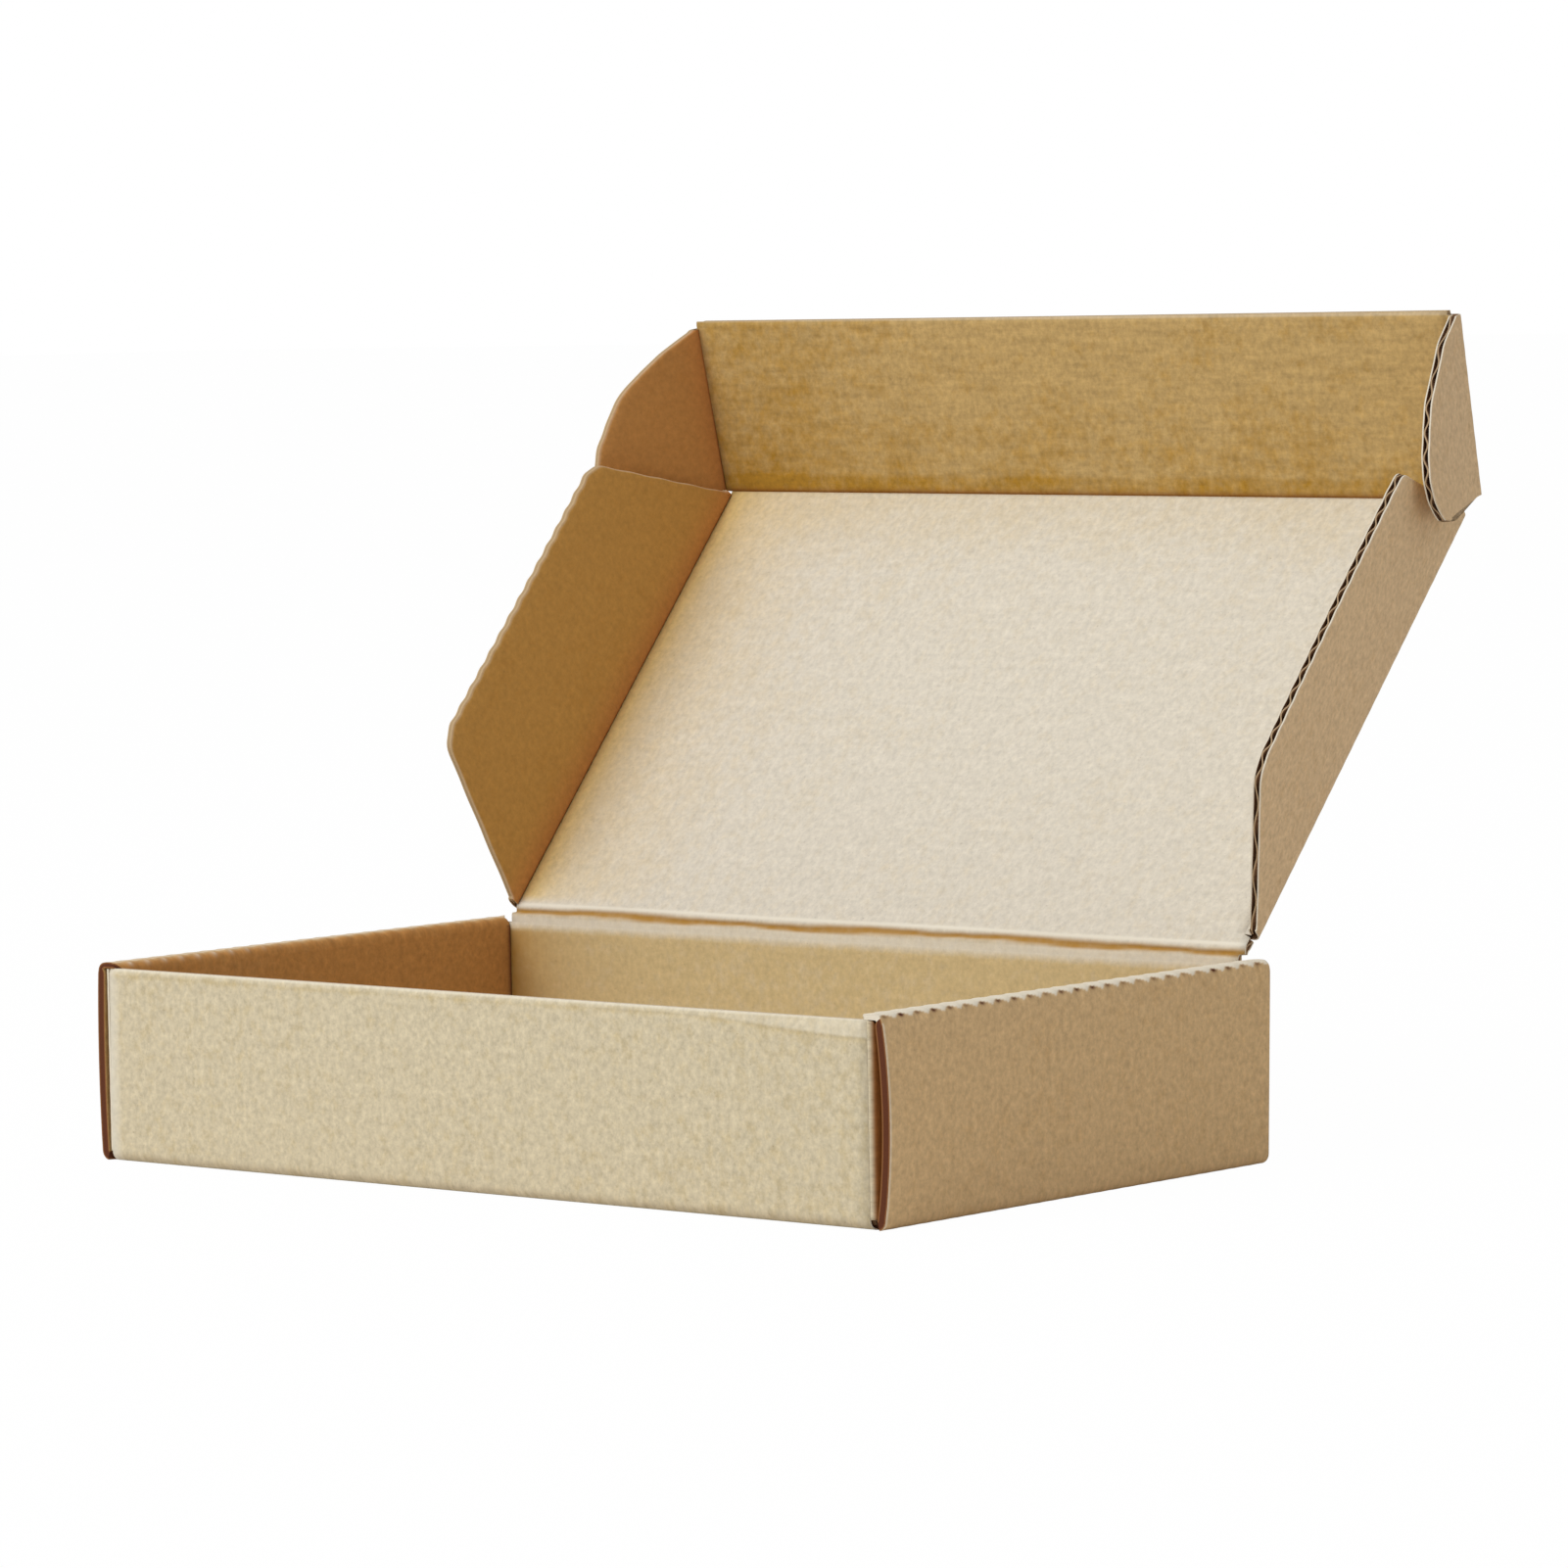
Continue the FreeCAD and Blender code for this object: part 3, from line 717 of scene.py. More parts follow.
def makeSideWall(side):
    piece = sideWall
    sign = 1 if side == "right" else -1
    outerRun = places["rollTop"] - places["floor"] - fold - roll
    begin = places["sideHalf"] - fold - piece["underRun"]
    moves = [piece["underRun"], (90, fold), outerRun, (90, roll), places["rollWidth"] - 2 * roll, (90, roll)]
    moves += [places["rollTop"] - roll - piece["innerFoot"], piece["innerFoot"]]
    path = FoldPath((begin, places["floor"]), 0, moves)
    firstFold, outer, secondFold, top, thirdFold, inner, tab = (path.mark(index) for index in range(1, 8))
    full, short = piece["outerEnd"], piece["innerEnd"]
    spot, steps = piece["spot"], piece["steps"]
    spotStrength = np.random.default_rng(piece["seed"]).uniform(0.35, 1.0, 64)

    def folds(s):
        first, last = (secondFold + top) / 2, (thirdFold + inner) / 2
        return np.maximum(bell(s - first, piece["foldWidth"]), bell(s - last, piece["foldWidth"]))

    def squeeze(s, t, liner):
        if liner < 0:
            scallop = piece["scallop"] / stock["thickness"] * 2 * (1 - tooth(t)) * folds(s)
            return 1 - piece["foldCrush"]["outside"] * folds(s) - scallop
        onTop = band(s, secondFold, top, thirdFold, inner)
        pressed = piece["cornerPress"] * rise(-t, short - 2 * mm, short) * onTop
        return 1 - np.maximum(piece["foldCrush"]["inside"] * folds(s), pressed)

    def shift(s, t):
        # the outer panel bulges at its front end
        up = np.clip((s - outer) / outerRun, 0, 1)
        push = piece["bow"][side] * np.sin(math.pi * up) ** 0.8 * np.exp(-(t + full) / piece["bowReach"])
        push = np.where((s > outer) & (s < secondFold), push, 0)
        return push[..., None] * np.array([sign, 0, 0])

    # painted light on the top band, which faces the light, a pale line along the outer panel's front end, and
    # painted highlights on the flute crests at the inner fold
    def worn(s, t, liner):
        border = top - 0.1 * mm - piece["bandTooth"] * tooth(t)
        last = (inner if side == "right" else thirdFold) - piece["bandEnd"][side]
        litBand = band(s, border - 0.12 * mm, border + 0.12 * mm, last, last + 0.5 * mm)
        rim = piece["rimWear"][side] * nearEdge(full + t, 0.2 * mm) * (s < secondFold)
        crests = tooth(t) ** 4 * bell(s - thirdFold - 0.5 * mm, 0.5 * mm) * rise(-t, 5 * mm, 45 * mm)
        litBand = np.maximum(piece["bandWear"][side] * litBand, rim)
        return (liner < 0) * np.maximum(litBand, piece["nickWear"][side] * crests)

    def spots(s, t, liner):
        # painted shade: a dark spot between each two flutes under the top fold, and the dark gap where the
        # inner panel meets the rear wall
        between = np.mod(t / stock["pitch"] + 0.5, 1) - 0.5
        strength = spot["strength"] * spotStrength[np.floor(t / stock["pitch"] + 0.5).astype(int) % 64]
        dark = strength * bell(between, spot["width"]) * bell(s - top + spot["drop"], spot["height"])
        seam = bell(short - t, piece["seamWidth"]) * (s > inner)
        return (liner < 0) * np.maximum(dark, seam)

    look = {
        "squeeze": squeeze,
        "shift": shift,
        "worn": worn,
        "crease": spots,
        # painted shade: the inner panel takes the warm tone, which is brown on the left wall
        "warm": lambda s, t, liner: (liner < 0) * rise(s, thirdFold - 0.5 * mm, thirdFold + 0.8 * mm),
        "fill": lambda s, t: nearEdge(short - np.abs(t), 0.4 * mm, 0.8 * mm),
        # painted light: on the right wall the cut ends past the roll's first fold are pale, where the left
        # wall's stay shaded brown
        "paleRim": lambda s, t: (s > secondFold + 0.5 * mm) & (side == "right"),
    }
    board = Board(f"{side}_side_wall", path, (0, 0, 0), (sign, 0, 0), (0, 1, 0), (0, 0, 1), True, look)
    slotReach = stock["thickness"] / 2 + piece["slotSlack"]
    slotLow, slotHigh = (places["innerHalf"] + way * slotReach - begin for way in (-1, 1))
    stations = np.concatenate([
        np.array([0, slotLow, (slotLow + slotHigh) / 2, slotHigh]),
        spread([firstFold, outer], steps["corner"]),
        spread([outer, secondFold - 1 * mm], steps["outer"])[1:],
        spread([secondFold - 1 * mm, secondFold, top, top + 0.4 * mm], steps["firstRoll"])[1:],
        spread([top + 0.4 * mm, thirdFold, inner, inner + 1 * mm], steps["lastRoll"])[1:],
        spread([inner + 1 * mm, tab], steps["inner"])[1:],
        spread([tab, path.length], steps["tab"])[1:],
    ])
    slotHalf = piece["tabHalf"] + piece["slotSlack"]
    cuts = []
    for middle in (-piece["tabMiddle"], piece["tabMiddle"]):
        cuts += [middle - slotHalf, middle - piece["tabHalf"], middle + piece["tabHalf"], middle + slotHalf]
    rows = spread([-full, -full + piece["endFill"], *cuts, full - piece["endFill"], full], steps["waves"])
    knees = [firstFold, firstFold + 0.1 * mm, secondFold, top, thirdFold, inner]
    leaning = full + piece["rearLean"]
    frontEnd = np.interp(stations, knees, [short, full, full, full, full, short])
    rearEnd = np.interp(stations, knees, [short, full, leaning, leaning, short, short])
    s, t = np.meshgrid(stations, rows, indexing="ij")
    reach = np.where(t < 0, frontEnd[:, None], rearEnd[:, None])
    knee = piece["endKnee"]
    beyond = np.maximum(np.abs(t) - knee, 0) * (reach - knee) / (full - knee)
    t = np.sign(t) * (np.minimum(np.abs(t), knee) + beyond)
    middleS = (s[:-1, :-1] + s[1:, 1:]) / 2
    middleT = (t[:-1, :-1] + t[1:, 1:]) / 2
    fromTab = np.abs(np.abs(middleT) - piece["tabMiddle"])
    inSlot = (fromTab < slotHalf) & (middleS > slotLow) & (middleS < slotHigh)
    mask = ~inSlot & ((middleS < tab) | (fromTab < piece["tabHalf"]))
    board.layers([(s, t)] * 3, mask)
    outside = paperLook("tan", alongPath, hue=0.9, crease="seam")
    # the left wall's inner panel faces away from the light, so its painted shade is brown
    if side == "left":
        outside.update(warm=linear(*paper["brown"]["colour"]), hue=0.25, cloud=0.25)
    return board.finish(boardMaterials(side, paperLook("gold", alongPath), outside, "brown", "dark"))


bottomSteps = {"waves": waveStep * 1.25, "across": 31 * mm}


def makeBottom():
    halfWidth = places["wallHalf"] - fold - frontWall["underRun"]
    half = frontWall["underHalf"]
    path = FoldPath((-halfWidth, places["floor"]), 0, [2 * halfWidth])
    board = Board("bottom_panel", path, (0, 0, 0), (0, 1, 0), (1, 0, 0), (0, 0, 1), False, {})
    stations = spread([0, path.length], bottomSteps["waves"])
    s, t = np.meshgrid(stations, spread([-half, half], bottomSteps["across"]), indexing="ij")
    board.layers([(s, t)] * 3)
    looks = paperLook("cream", alongSweep), paperLook("tan", alongSweep)
    return board.finish(boardMaterials("bottom", *looks))


# the lid stands on the rear wall's top crease, and turns about it
lidLean = math.radians(places["lidAngle"])
lidWay = np.array([0, -math.cos(lidLean), math.sin(lidLean)])
lidFace = np.array([0, -math.sin(lidLean), -math.cos(lidLean)])
tuckPoint = hingePoint + (places["lidLength"] - places["tuckDrop"]) * lidWay
tuckTurn = math.radians(places["tuckAngle"])
tuckWay = math.cos(tuckTurn) * lidWay + math.sin(tuckTurn) * lidFace
tuckFace = math.cos(tuckTurn) * lidFace - math.sin(tuckTurn) * lidWay
tuckAlong = unitX - places["tuckSkew"] * lidWay


def panelGrids(stations, half, slant):
    # the layers of a panel between two side creases, whose line is half(side, layer) from the middle
    grids = []
    for layer in range(3):
        left, right = (half(side, layer)[:, None] for side in ("left", "right"))
        s, share = np.meshgrid(stations, spread([0, 0.015, 0.985, 1], 0.02), indexing="ij")
        t = -left * (1 - share) + right * share
        grids.append((s + slant(s) * t, t))
    return grids


# the rear wall and the lid, with the crushed crease between them
backAndLid = {
    "underRun": 8 * mm,
    "shoulder": 51.7 * mm,
    "neckHalf": 128.0 * mm,
    "innerEdge": 0.35 * mm,  # the inner liner stops this far short of a side crease
    "outerEdge": 2.4 * mm,  # and the board does where the flap's own piece carries the fold
    "hingeRadius": 4.0 * mm,
    "hingeCrush": 0.25,
    "crushBand": np.array([-5, -3.4, 0.8, 2.2]) * mm,  # from the middle of the hinge up the lid
    "grooveDepth": 0.5,
    "grooveWidth": 0.8 * mm,
    "wander": [(0.3 * mm, 47, 0), (0.22 * mm, 131, 1), (0.12 * mm, 419, 0)],  # depth, waves and start
    # painted highlight line where the lid leaves the hinge, painted light on the rounded strip at the rear
    # wall's top, and painted shade in the rear wall's left corner
    "line": {"wear": 1.1, "above": 1.75 * mm, "width": 0.55 * mm},
    "stripWear": 0.45,
    "stripBand": np.array([-4.6, -3.4, -1.6, -0.9]) * mm,
    "cornerShade": 1.2,
    "cornerReach": 16 * mm,
    "bow": 0.7 * mm,
    "blend": (3.5 * mm, 3.0 * mm),
    "steps": {
        "under": 2 * mm, "fold": 0.35 * mm, "wall": waveStep * 2, "hinge": 0.22 * mm, "lid": waveStep * 1.25,
    },
}


def makeBackAndLid():
    piece = backAndLid
    line, steps = piece["line"], piece["steps"]
    lean = places["lidAngle"] - 90
    hingeRun = piece["hingeRadius"] * math.tan(math.radians(lean) / 2)
    wallRun = places["hingeHeight"] - places["floor"] - fold - hingeRun
    tuckRun = fold * math.tan(tuckTurn / 2)
    moves = [piece["underRun"], (90, fold), wallRun, (-lean, piece["hingeRadius"])]
    moves.append(places["lidLength"] - places["tuckDrop"] - hingeRun - tuckRun)
    path = FoldPath((places["wallHalf"] - fold - piece["underRun"], places["floor"]), 0, moves)
    corner, wall, hinge, lid = (path.mark(index) for index in range(1, 5))
    end = path.length
    bend = (hinge + lid) / 2
    shoulder = wall + piece["shoulder"] - places["floor"] - fold

    def groove(s, t, width=1.0):
        wander = sum(depth * np.sin(t * waves + start) for depth, waves, start in piece["wander"])
        return bell(s - bend - wander, piece["grooveWidth"] * width * (1 + 0.3 * np.sin(t * 83 + 2)))

    def squeeze(s, t, liner):
        soft = piece["hingeCrush"] * band(s - bend, *piece["crushBand"])
        return 1 - soft - (liner > 0) * piece["grooveDepth"] * groove(s, t)

    def warp(s, t):
        return piece["bow"] * band(s, lid, lid + 60 * mm, end - 40 * mm, end) * (1 - (t / (130 * mm)) ** 2)

    # painted shade in the hinge groove and in the rear wall's left corner
    def creases(s, t, liner):
        shade = piece["cornerShade"] * np.exp(-(t + cornerHalf) / piece["cornerReach"])
        shade = shade * (s > wall) * (1 - rise(s, bend - 6 * mm, bend - 4 * mm))
        return (liner > 0) * np.clip(1.15 * groove(s, t, 1.15) + shade, 0, 1)

    # painted highlight line on the lid's lower edge and painted light on the rounded strip below the groove
    def worn(s, t, liner):
        above = line["above"] + 0.1 * mm * np.sin(t * 60)
        strip = piece["stripWear"] * band(s - bend, *piece["stripBand"])
        return (liner > 0) * np.maximum(line["wear"] * bell(s - bend - above, line["width"]), strip)

    # painted shade: the rear wall inside the tray and the lid beside the left flap take the warm tone, and
    # the lid warms towards its far end
    def warm(s, t, liner):
        wallTone = 1 - 0.7 * rise(s, bend - 5.4 * mm, bend - 3.4 * mm) - 0.3 * rise(s, bend, bend + 1.2 * mm)
        farTone = 0.3 * rise(s, end - 32 * mm, end)
        leftTone = 0.3 * bell(t + crease("lidCreases", "left", 0), 50 * mm) * rise(s, lid, lid + 8 * mm)
        return (liner > 0) * np.maximum(wallTone, farTone + leftTone)

    # painted light thrown back by the left flap onto the lid near its fold
    def glow(s, t, liner):
        fromLeft = t + crease("lidCreases", "left", 0)
        light = 0.7 * bell(fromLeft, 8 * mm) + 0.3 * bell(fromLeft, 26 * mm)
        return (liner > 0) * light * rise(s, lid, lid + 4 * mm)

    look = {"squeeze": squeeze, "warp": warp, "crease": creases, "worn": worn, "warm": warm, "glow": glow}
    board = Board("back_and_lid", path, (0, 0, 0), (0, 1, 0), (1, 0, 0), (0, 0, 1), False, look)
    stations = np.concatenate([
        spread([0, corner], steps["under"]),
        spread([corner + hair, wall], steps["fold"]),
        spread([wall, shoulder], steps["wall"])[1:],
        spread([shoulder + hair, lid + 2 * mm], steps["hinge"]),
        spread([lid + 2 * mm, end], steps["lid"])[1:],
    ])
    fromHinge = stations - bend

    def half(side, layer):
        flap = sideFlaps[side]
        low, high = (flap["outline"][index][0] * mm for index in (0, -1))
        beside = (fromHinge > low - 0.3 * mm) & (fromHinge < high + 0.3 * mm)
        beside = beside & bool(layer or flap["wholeFold"])
        short = np.where(beside, piece["outerEdge"], piece["innerEdge"])
        line = crease("lidCreases", side, np.clip(fromHinge / places["lidLength"], 0, 1)) - short
        line = np.where(fromHinge < -0.3 * mm, piece["neckHalf"], line)
        line = np.where(stations <= shoulder, cornerHalf, line)
        return np.where(stations <= corner, frontWall["underHalf"], line)

    def slant(s):
        return -places["tuckSkew"] * np.clip((s - lid) / (end - lid), 0, 1)

    board.layers(panelGrids(stations, half, slant))
    inside = paperLook("cream", alongSweep, **smoothLook, crease="groove", creaseStrength=0.95)
    panel = board.finish(boardMaterials("lid", inside, paperLook("tan", alongSweep)))
    below, above = piece["blend"]
    tuple(hingePoint + lidWay * above)
    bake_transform(panel)
    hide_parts("lid_panel")


# the tuck flap at the lid's front crease
tuckPanel = {
    "innerEdge": 0.35 * mm,
    "outerEdge": 2.4 * mm,
    "lidInset": 0.4 * mm,
    "bendRadius": 1.6 * mm,
    "creaseDepth": 0.3,
    "edgeCrush": 0.35,
    "edgeWear": 0.25,
    "sag": 0.6 * mm,
    "sagWaves": 11,
    "flare": 0.0033,  # the slope of its edge, which takes it further from the crease on the right
    "blend": 2.2 * mm,
    "edgeRun": 2 * mm,
    "steps": {"fold": 0.2 * mm, "edge": 0.25 * mm},
}


def makeTuck():
    piece = tuckPanel
    steps = piece["steps"]
    run = piece["bendRadius"] * math.tan(tuckTurn / 2)
    lidEnd = fold * math.tan(tuckTurn / 2)
    # the lid ends nearer to the crease than this wider fold begins, so the first run leads back
    moves = [lidEnd - run, (places["tuckAngle"], piece["bendRadius"]), places["tuckHeight"] - run]
    path = FoldPath((-lidEnd, 0), 0, moves)
    bend, flat, end = path.mark(1), path.mark(2), path.length
    middle, edge = (bend + flat) / 2, end - piece["edgeRun"]

    def squeeze(s, t, liner):
        dip = piece["creaseDepth"] * (liner > 0) * bell(s - middle, 0.9 * mm)
        return 1 - dip - piece["edgeCrush"] * (1 - np.clip((end - s) / (1.5 * mm), 0, 1))

    # painted shade: darker and more golden towards the left and near the crease
    def warm(s, t, liner):
        left = 0.7 - 0.7 * rise(t, -130 * mm, -30 * mm)
        low = 1 - rise(s, middle + 4.5 * mm, middle + 6.5 * mm)
        half = 1 - rise(s, middle + 4 * mm, middle + 34 * mm)
        return (liner > 0) * (0.5 * left + 0.45 * low + 0.25 * half)

    look = {
        "squeeze": squeeze,
        # painted shade along the crease
        "crease": lambda s, t, liner: (liner > 0) * 0.8 * bell(s - middle - 0.5 * mm, 1.1 * mm),
        "worn": lambda s, t, liner: piece["edgeWear"] * nearEdge(end - s),
        "warm": warm,
        "warp": lambda s, t: piece["sag"] * rise(s, flat, end) * np.cos(t * piece["sagWaves"] + 0.4),
        "fill": lambda s, t: nearEdge(end - s, 0.5 * mm),
    }
    board = Board("tuck_panel", path, tuckPoint, lidWay, tuckAlong, lidFace, False, look)
    stations = np.concatenate([
        spread([0, bend, flat + 1 * mm], steps["fold"]),
        spread([flat + 1 * mm, edge], waveStep)[1:],
        spread([edge, end], steps["edge"])[1:],
    ])
    fromCrease = stations - middle

    def half(side, layer):
        lug = lugs[side]
        short = piece["outerEdge"] if layer or lug["wholeFold"] else piece["innerEdge"]
        inset = crease("lidCreases", side, 1) - piece["lidInset"]
        line = crease("lugCreases", side, np.clip(fromCrease / places["tuckHeight"], 0, 1)) - short
        return np.where(fromCrease < (lug["outline"][0][0] - 0.3) * mm, inset, line)

    def slant(s):
        return piece["flare"] * np.clip((s - middle) / (end - middle), 0, 1)

    board.layers(panelGrids(stations, half, slant))
    inside = paperLook("gold", alongSweep, streak=0.8, cloud=0.9, gold=1.2)
    panel = board.finish(boardMaterials("tuck", inside, paperLook("tan", alongSweep), "plain"))
    start, stop = tuckPoint - lidWay * piece["blend"], tuckPoint + tuckWay * piece["blend"]
    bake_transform(panel)
    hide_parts("tuck_flap")


# the side flaps of the lid and the lugs of the tuck flap, in millimetres and degrees: those on the left have
# crushed edges, and those on the right carry their whole fold
flapSides = {
    # glow: how much painted light, thrown back from the lid, falls on a flap's inside near its fold
    "left": {"crush": 0.45, "fill": 0.9, "rim": "plain", "glow": 0.8, "wholeFold": False},
    "right": {
        "fill": 0.0, "rim": "pale", "glow": 0.0, "wholeFold": True, "creaseTone": 0.4, "bendReach": 2.4,
    },
}
# an outline has places along the crease, reaches from it and corner radii
sideFlaps = {
    "left": {
        **flapSides["left"],
        "angle": 87.0,
        "outline": [(1.4, 2.5), (21.9, 52.4, 9.0), (120.4, 52.2, 8.0), (149.6, 2.5)],
        "edgeWave": 0.2, "swell": 0.6, "creaseTone": 0.9, "wear": 0.35, "bendReach": 2.2,
    },
    "right": {
        **flapSides["right"],
        "angle": 70.0,
        "outline": [(5.2, 1.5), (26.8, 47.6, 10.0), (122.5, 49.8, 5.0), (145.6, 1.5)],
        "edgeWave": 0.15, "crush": 0.1, "swell": 0.6, "wear": 0.3,
    },
}
lugs = {
    "left": {
        **flapSides["left"],
        "angle": 80.0,
        "outline": [
            (0.6, 4.0), (1.2, 46.8, 12.0), (18.0, 46.8, 17.0),
            (34.4, 34.2, 28.0), (43.6, 16.4, 24.0), (48.6, 3.0),
        ],
        "edgeWave": 0.1, "swell": 0.3, "creaseTone": 1.0, "wear": 0.25, "bendReach": 3.0,
    },
    "right": {
        **flapSides["right"],
        "angle": 71.0,
        "outline": [
            (1.6, 5.0), (2.0, 46.4, 12.0), (17.5, 46.4, 16.0),
            (33.4, 36.8, 22.0), (45.4, 18.0, 20.0), (50.6, 3.0),
        ],
        "edgeWave": 0.1, "crush": 0.12, "swell": 0.3, "wear": 0.2,
        "curl": -0.8,
        "droop": {"depth": 2.8, "start": 10.0, "end": 44.0},
    },
}


def roundCorner(before, at, after, radius):
    back, ahead = ((np.array(point, float) - at) for point in (before, after))
    back, ahead = back / np.linalg.norm(back), ahead / np.linalg.norm(ahead)
    half = math.acos(np.dot(back, ahead)) / 2
    trim = radius / math.tan(half)
    centre = at + (back + ahead) / np.linalg.norm(back + ahead) * radius / math.sin(half)
    first, last = at + back * trim - centre, at + ahead * trim - centre
    turn = math.atan2(first[0] * last[1] - first[1] * last[0], np.dot(first, last))
    arc = []
    for angle in turn * np.arange(25) / 24:
        x = first[0] * math.cos(angle) - first[1] * math.sin(angle)
        y = first[0] * math.sin(angle) + first[1] * math.cos(angle)
        arc.append(centre + np.array([x, y]))
    return arc


def flapOutline(points, steps):
    # how far a flap reaches at each place along its crease
    line = [np.array(points[0])]
    for before, at, after in zip(points[:-2], points[1:-1], points[2:]):
        line += roundCorner(before[:2], np.array(at[:2]), after[:2], at[2])
    line = np.array(line + [np.array(points[-1])])
    return np.interp(steps, line[:, 0], line[:, 1])


def makeFoldedFlap(name, origin, way, face, outward, flap, looks):
    # a flap on a crease that runs along way: it leaves the parent towards outward and folds to face
    outline = [tuple(value * mm for value in point) for point in flap["outline"]]
    radians = math.radians(flap["angle"])
    run = fold * math.tan(radians / 2)
    reach = max(point[1] for point in outline)
    overlap = backAndLid["outerEdge"]
    path = FoldPath((-overlap, 0), 0, [overlap - run, (flap["angle"], fold), reach])
    bend, flat = path.mark(1), path.mark(2)
    middle = (bend + flat) / 2
    low, high = outline[0][0], outline[-1][0]
    steps = spread([low, low + 0.02 * mm, high - 0.02 * mm, high], waveStep)
    heights = np.maximum(flapOutline(outline, steps), run + stock["leastFlap"])
    free = flat + heights - run + flap["edgeWave"] * mm * np.sin(2 * math.pi * steps / stock["pitch"])

    def fromEdge(s, t):
        return np.interp(t, steps, free) - s

    def squeeze(s, t, liner):
        dip = 1 + np.where(liner > 0, -0.3, 0.25) * bell(s - middle, 1.4 * mm)
        near = np.clip(fromEdge(s, t) / (1.6 * mm), 0, 1)
        return dip * (1 - flap["crush"] * (1 - near) ** stock["crushPower"])

    def warp(s, t):
        swell = flap["swell"] * np.sin(math.pi * (t - low) / (high - low))
        return rise(s, flat, flat + reach) * mm * (flap.get("curl", 0) + swell)

    def droop(s, t):
        depth, start, end = (flap["droop"][key] * mm for key in ("depth", "start", "end"))
        hang = depth * np.sin(math.pi * np.clip((s - flat - start) / (end - start), 0, 1)) ** 2
        return -(hang * (high - t) / (high - low))[..., None] * way

    def worn(s, t, liner):
        edge = flap["wear"] * nearEdge(fromEdge(s, t), 0.1 * mm)
        return np.maximum((liner < 0) * 0.08 * bell(s - middle, 1.0 * mm), edge)

    # painted shade along the crease
    def creases(s, t, liner):
        return (liner > 0) * flap["creaseTone"] * bell(s - middle - 0.5 * mm, 1.1 * mm)

    look = {
        "squeeze": squeeze,
        "warp": warp,
        "worn": worn,
        "crease": creases,
        # painted light thrown back onto the inside near the fold
        "glow": lambda s, t, liner: (liner > 0) * flap["glow"] * bell(s - flat, 6 * mm),
        "fill": lambda s, t: flap["fill"] * nearEdge(fromEdge(s, t), 0.5 * mm, 1.2 * mm),
    }
    if "droop" in flap:
        look["shift"] = droop
    board = Board(name, path, origin, outward, way, face, True, look)
    foldRows = spread([bend, flat, flat + 1 * mm], 0.3 * mm)
    grids = []
    for start in (0.0 if flap["wholeFold"] else flat - 0.15 * mm, flat + 0.4 * mm, 0.0):
        fixed = [station for station in foldRows if station > start + 0.05 * mm]
        if start < bend or start > flat:
            fixed = [start] + fixed
        rows = []
        for end in free:
            last = end - 1.4 * mm
            inside = fixed[-1] + (last - fixed[-1]) * np.linspace(0, 1, 12)[1:]
            rows.append(np.concatenate([fixed, inside, last + np.array([0.45, 0.9, 1.2, 1.4]) * mm]))
        s = np.array(rows).T
        grids.append((s, np.repeat(steps[None, :], s.shape[0], 0)))
    board.layers(grids)
    piece = board.finish(boardMaterials(name, *looks, flap["rim"]))
    back = np.array(origin) + way * (high + low) / 2
    level = np.array(outward) - way * np.dot(outward, way) / np.dot(way, way)  # square to the crease
    child = math.cos(radians) * level + math.sin(radians) * np.array(face)
    start, stop = back - level * 2.2 * mm, back + child * flap["bendReach"] * mm
    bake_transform(piece)
    return piece


def slanted(way, kind, side, length):
    # the crease of a flap that stands askew, in steps of its parent's own way
    sign = 1 if side == "right" else -1
    near, far = places[kind][side]
    return way + sign * (far - near) / length * unitX


def flapOutside():
    outside = paperLook("tan", alongPath, hue=0.9)
    # the outside takes the tan paper's lighter glow colour as its own: painted light
    outside["colour"] = outside["glow"]
    return outside


def makeSideFlap(side):
    sign = 1 if side == "right" else -1
    # the left flap's inside faces away from the light and is painted in shade as ochre
    insides = {
        "left": paperLook("ochre", alongPath, **softLook),
        "right": paperLook("cream", alongPath, **smoothLook),
    }
    piece = makeFoldedFlap(
        f"{side}_lid_flap",
        hingePoint + sign * crease("lidCreases", side, 0) * unitX,
        slanted(lidWay, "lidCreases", side, places["lidLength"]), lidFace, sign * unitX,
        sideFlaps[side], (insides[side], flapOutside()),
    )
    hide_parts(f"{side}_side_flap")


def makeLug(side):
    sign = 1 if side == "right" else -1
    # the left lug's inside faces away from the light and is painted in shade as brown
    insides = {"left": paperLook("brown", alongPath, **softLook), "right": paperLook("gold", alongPath)}
    piece = makeFoldedFlap(
        f"{side}_tuck_lug",
        tuckPoint + sign * crease("lugCreases", side, 0) * tuckAlong,
        slanted(tuckWay, "lugCreases", side, places["tuckHeight"]), tuckFace, sign * unitX,
        lugs[side], (insides[side], flapOutside()),
    )
    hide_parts(f"{side}_lug")


sides = "left", "right"
trayPieces = [makeFrontWall(), makeBottom()] + [makeSideWall(side) for side in sides]
trayPieces += [makeDustFlap(side, end) for side in sides for end in ("front", "rear")]
for trayPiece in trayPieces:
    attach(trayPiece, "tray")
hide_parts("tray")
print("tray built")

makeBackAndLid()
for flapSide in sides:
    makeSideFlap(flapSide)
makeTuck()
for flapSide in sides:
    makeLug(flapSide)
print("lid built")

# the camera's place is in metres and its turns in degrees
cameraSetup = {
    "lens": 163.36,
    "place": (1.2331, -1.40444, 0.23081),
    "yaw": 40.36,
    "pitch": 4.02,
    "roll": 1.08,
}


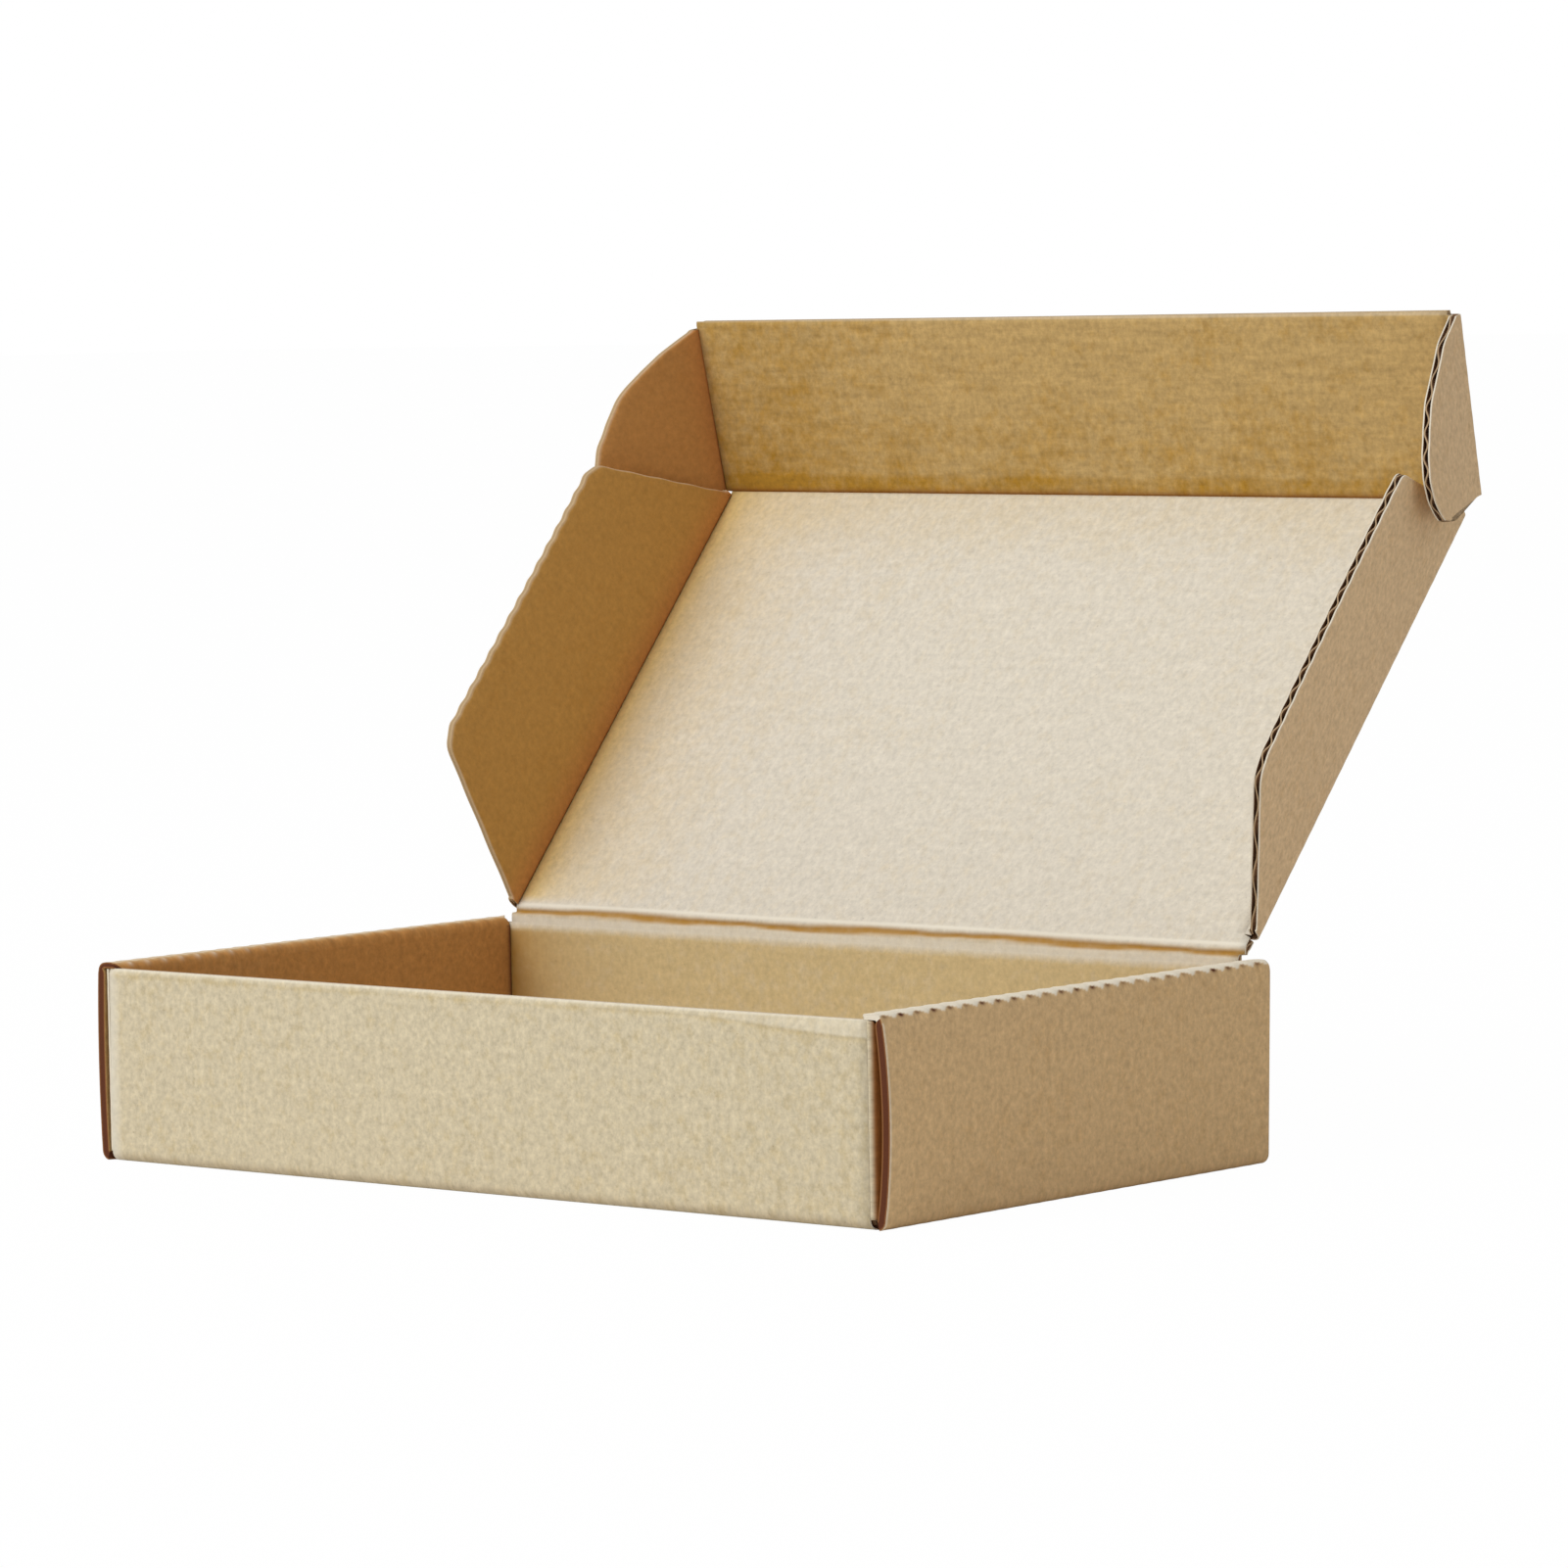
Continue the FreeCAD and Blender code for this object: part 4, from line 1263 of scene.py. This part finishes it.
def makeCamera(setup):
    data = bpy.data.cameras.new("camera")
    data.sensor_width = 36
    data.lens = setup["lens"]
    data.clip_end = 50
    camera = addObject("camera", data)
    camera.matrix_world = Matrix.Translation(setup["place"])
    for degrees, axis in ((setup["yaw"], "Z"), (90 - setup["pitch"], "X"), (-setup["roll"], "Z")):
        camera.matrix_world = camera.matrix_world @ Matrix.Rotation(math.radians(degrees), 4, axis)
    bpy.context.scene.camera = camera


lightSetup = {
    "keyWay": (-0.24, -0.66, 0.72),
    "keyDistance": 3.0,
    "keySize": 2.4,
    "keyPower": 50,
    "ambient": 0.56,
    "floorHalf": 20.0,
    "floorDrop": 0.2 * mm,
    "floorPaint": (0.86, 0.85, 0.83, 1),
    "floorWhite": 0.985,
}


def makeLight(setup):
    way = Vector(setup["keyWay"]).normalized()
    data = bpy.data.lights.new("key", "AREA")
    data.shape = "DISK"
    data.size = setup["keySize"]
    data.energy = setup["keyPower"]
    lamp = addObject("key", data)
    lamp.location = way * setup["keyDistance"]
    lamp.rotation_euler = way.to_track_quat("Z", "Y").to_euler()
    world = bpy.data.worlds.new("studio")
    bpy.context.scene.world = world
    g = Graph(world)
    seen = g.node("ShaderNodeLightPath", output=0)
    strength = seen * (1 - setup["ambient"]) + setup["ambient"]
    sky = g.node("ShaderNodeBackground", inputs={"Color": (1, 1, 1, 1), "Strength": strength})
    g.node("ShaderNodeOutputWorld", inputs={"Surface": sky})


def makeFloor(setup):
    mesh = bpy.data.meshes.new("floor")
    half = setup["floorHalf"]
    corners = [(-half, -half, 0), (half, -half, 0), (half, half, 0), (-half, half, 0)]
    mesh.from_pydata(corners, [], [(0, 1, 2, 3)])
    floor = addObject("floor", mesh)
    floor.location.z = -setup["floorDrop"]
    material = bpy.data.materials.new("floor")
    g = Graph(material)
    seen = g.node("ShaderNodeLightPath", output=0)
    paint = g.node("ShaderNodeBsdfDiffuse", inputs={"Color": setup["floorPaint"]})
    glow = g.node("ShaderNodeEmission", inputs={"Color": (1, 1, 1, 1), "Strength": 1.0})
    both = g.node("ShaderNodeMixShader", inputs={0: seen * setup["floorWhite"], 1: paint, 2: glow})
    g.node("ShaderNodeOutputMaterial", inputs={"Surface": both})
    mesh.materials.append(material)


makeCamera(cameraSetup)
makeLight(lightSetup)
makeFloor(lightSetup)
bpy.context.scene.view_settings.view_transform = "Standard"
print("camera, light and floor set")
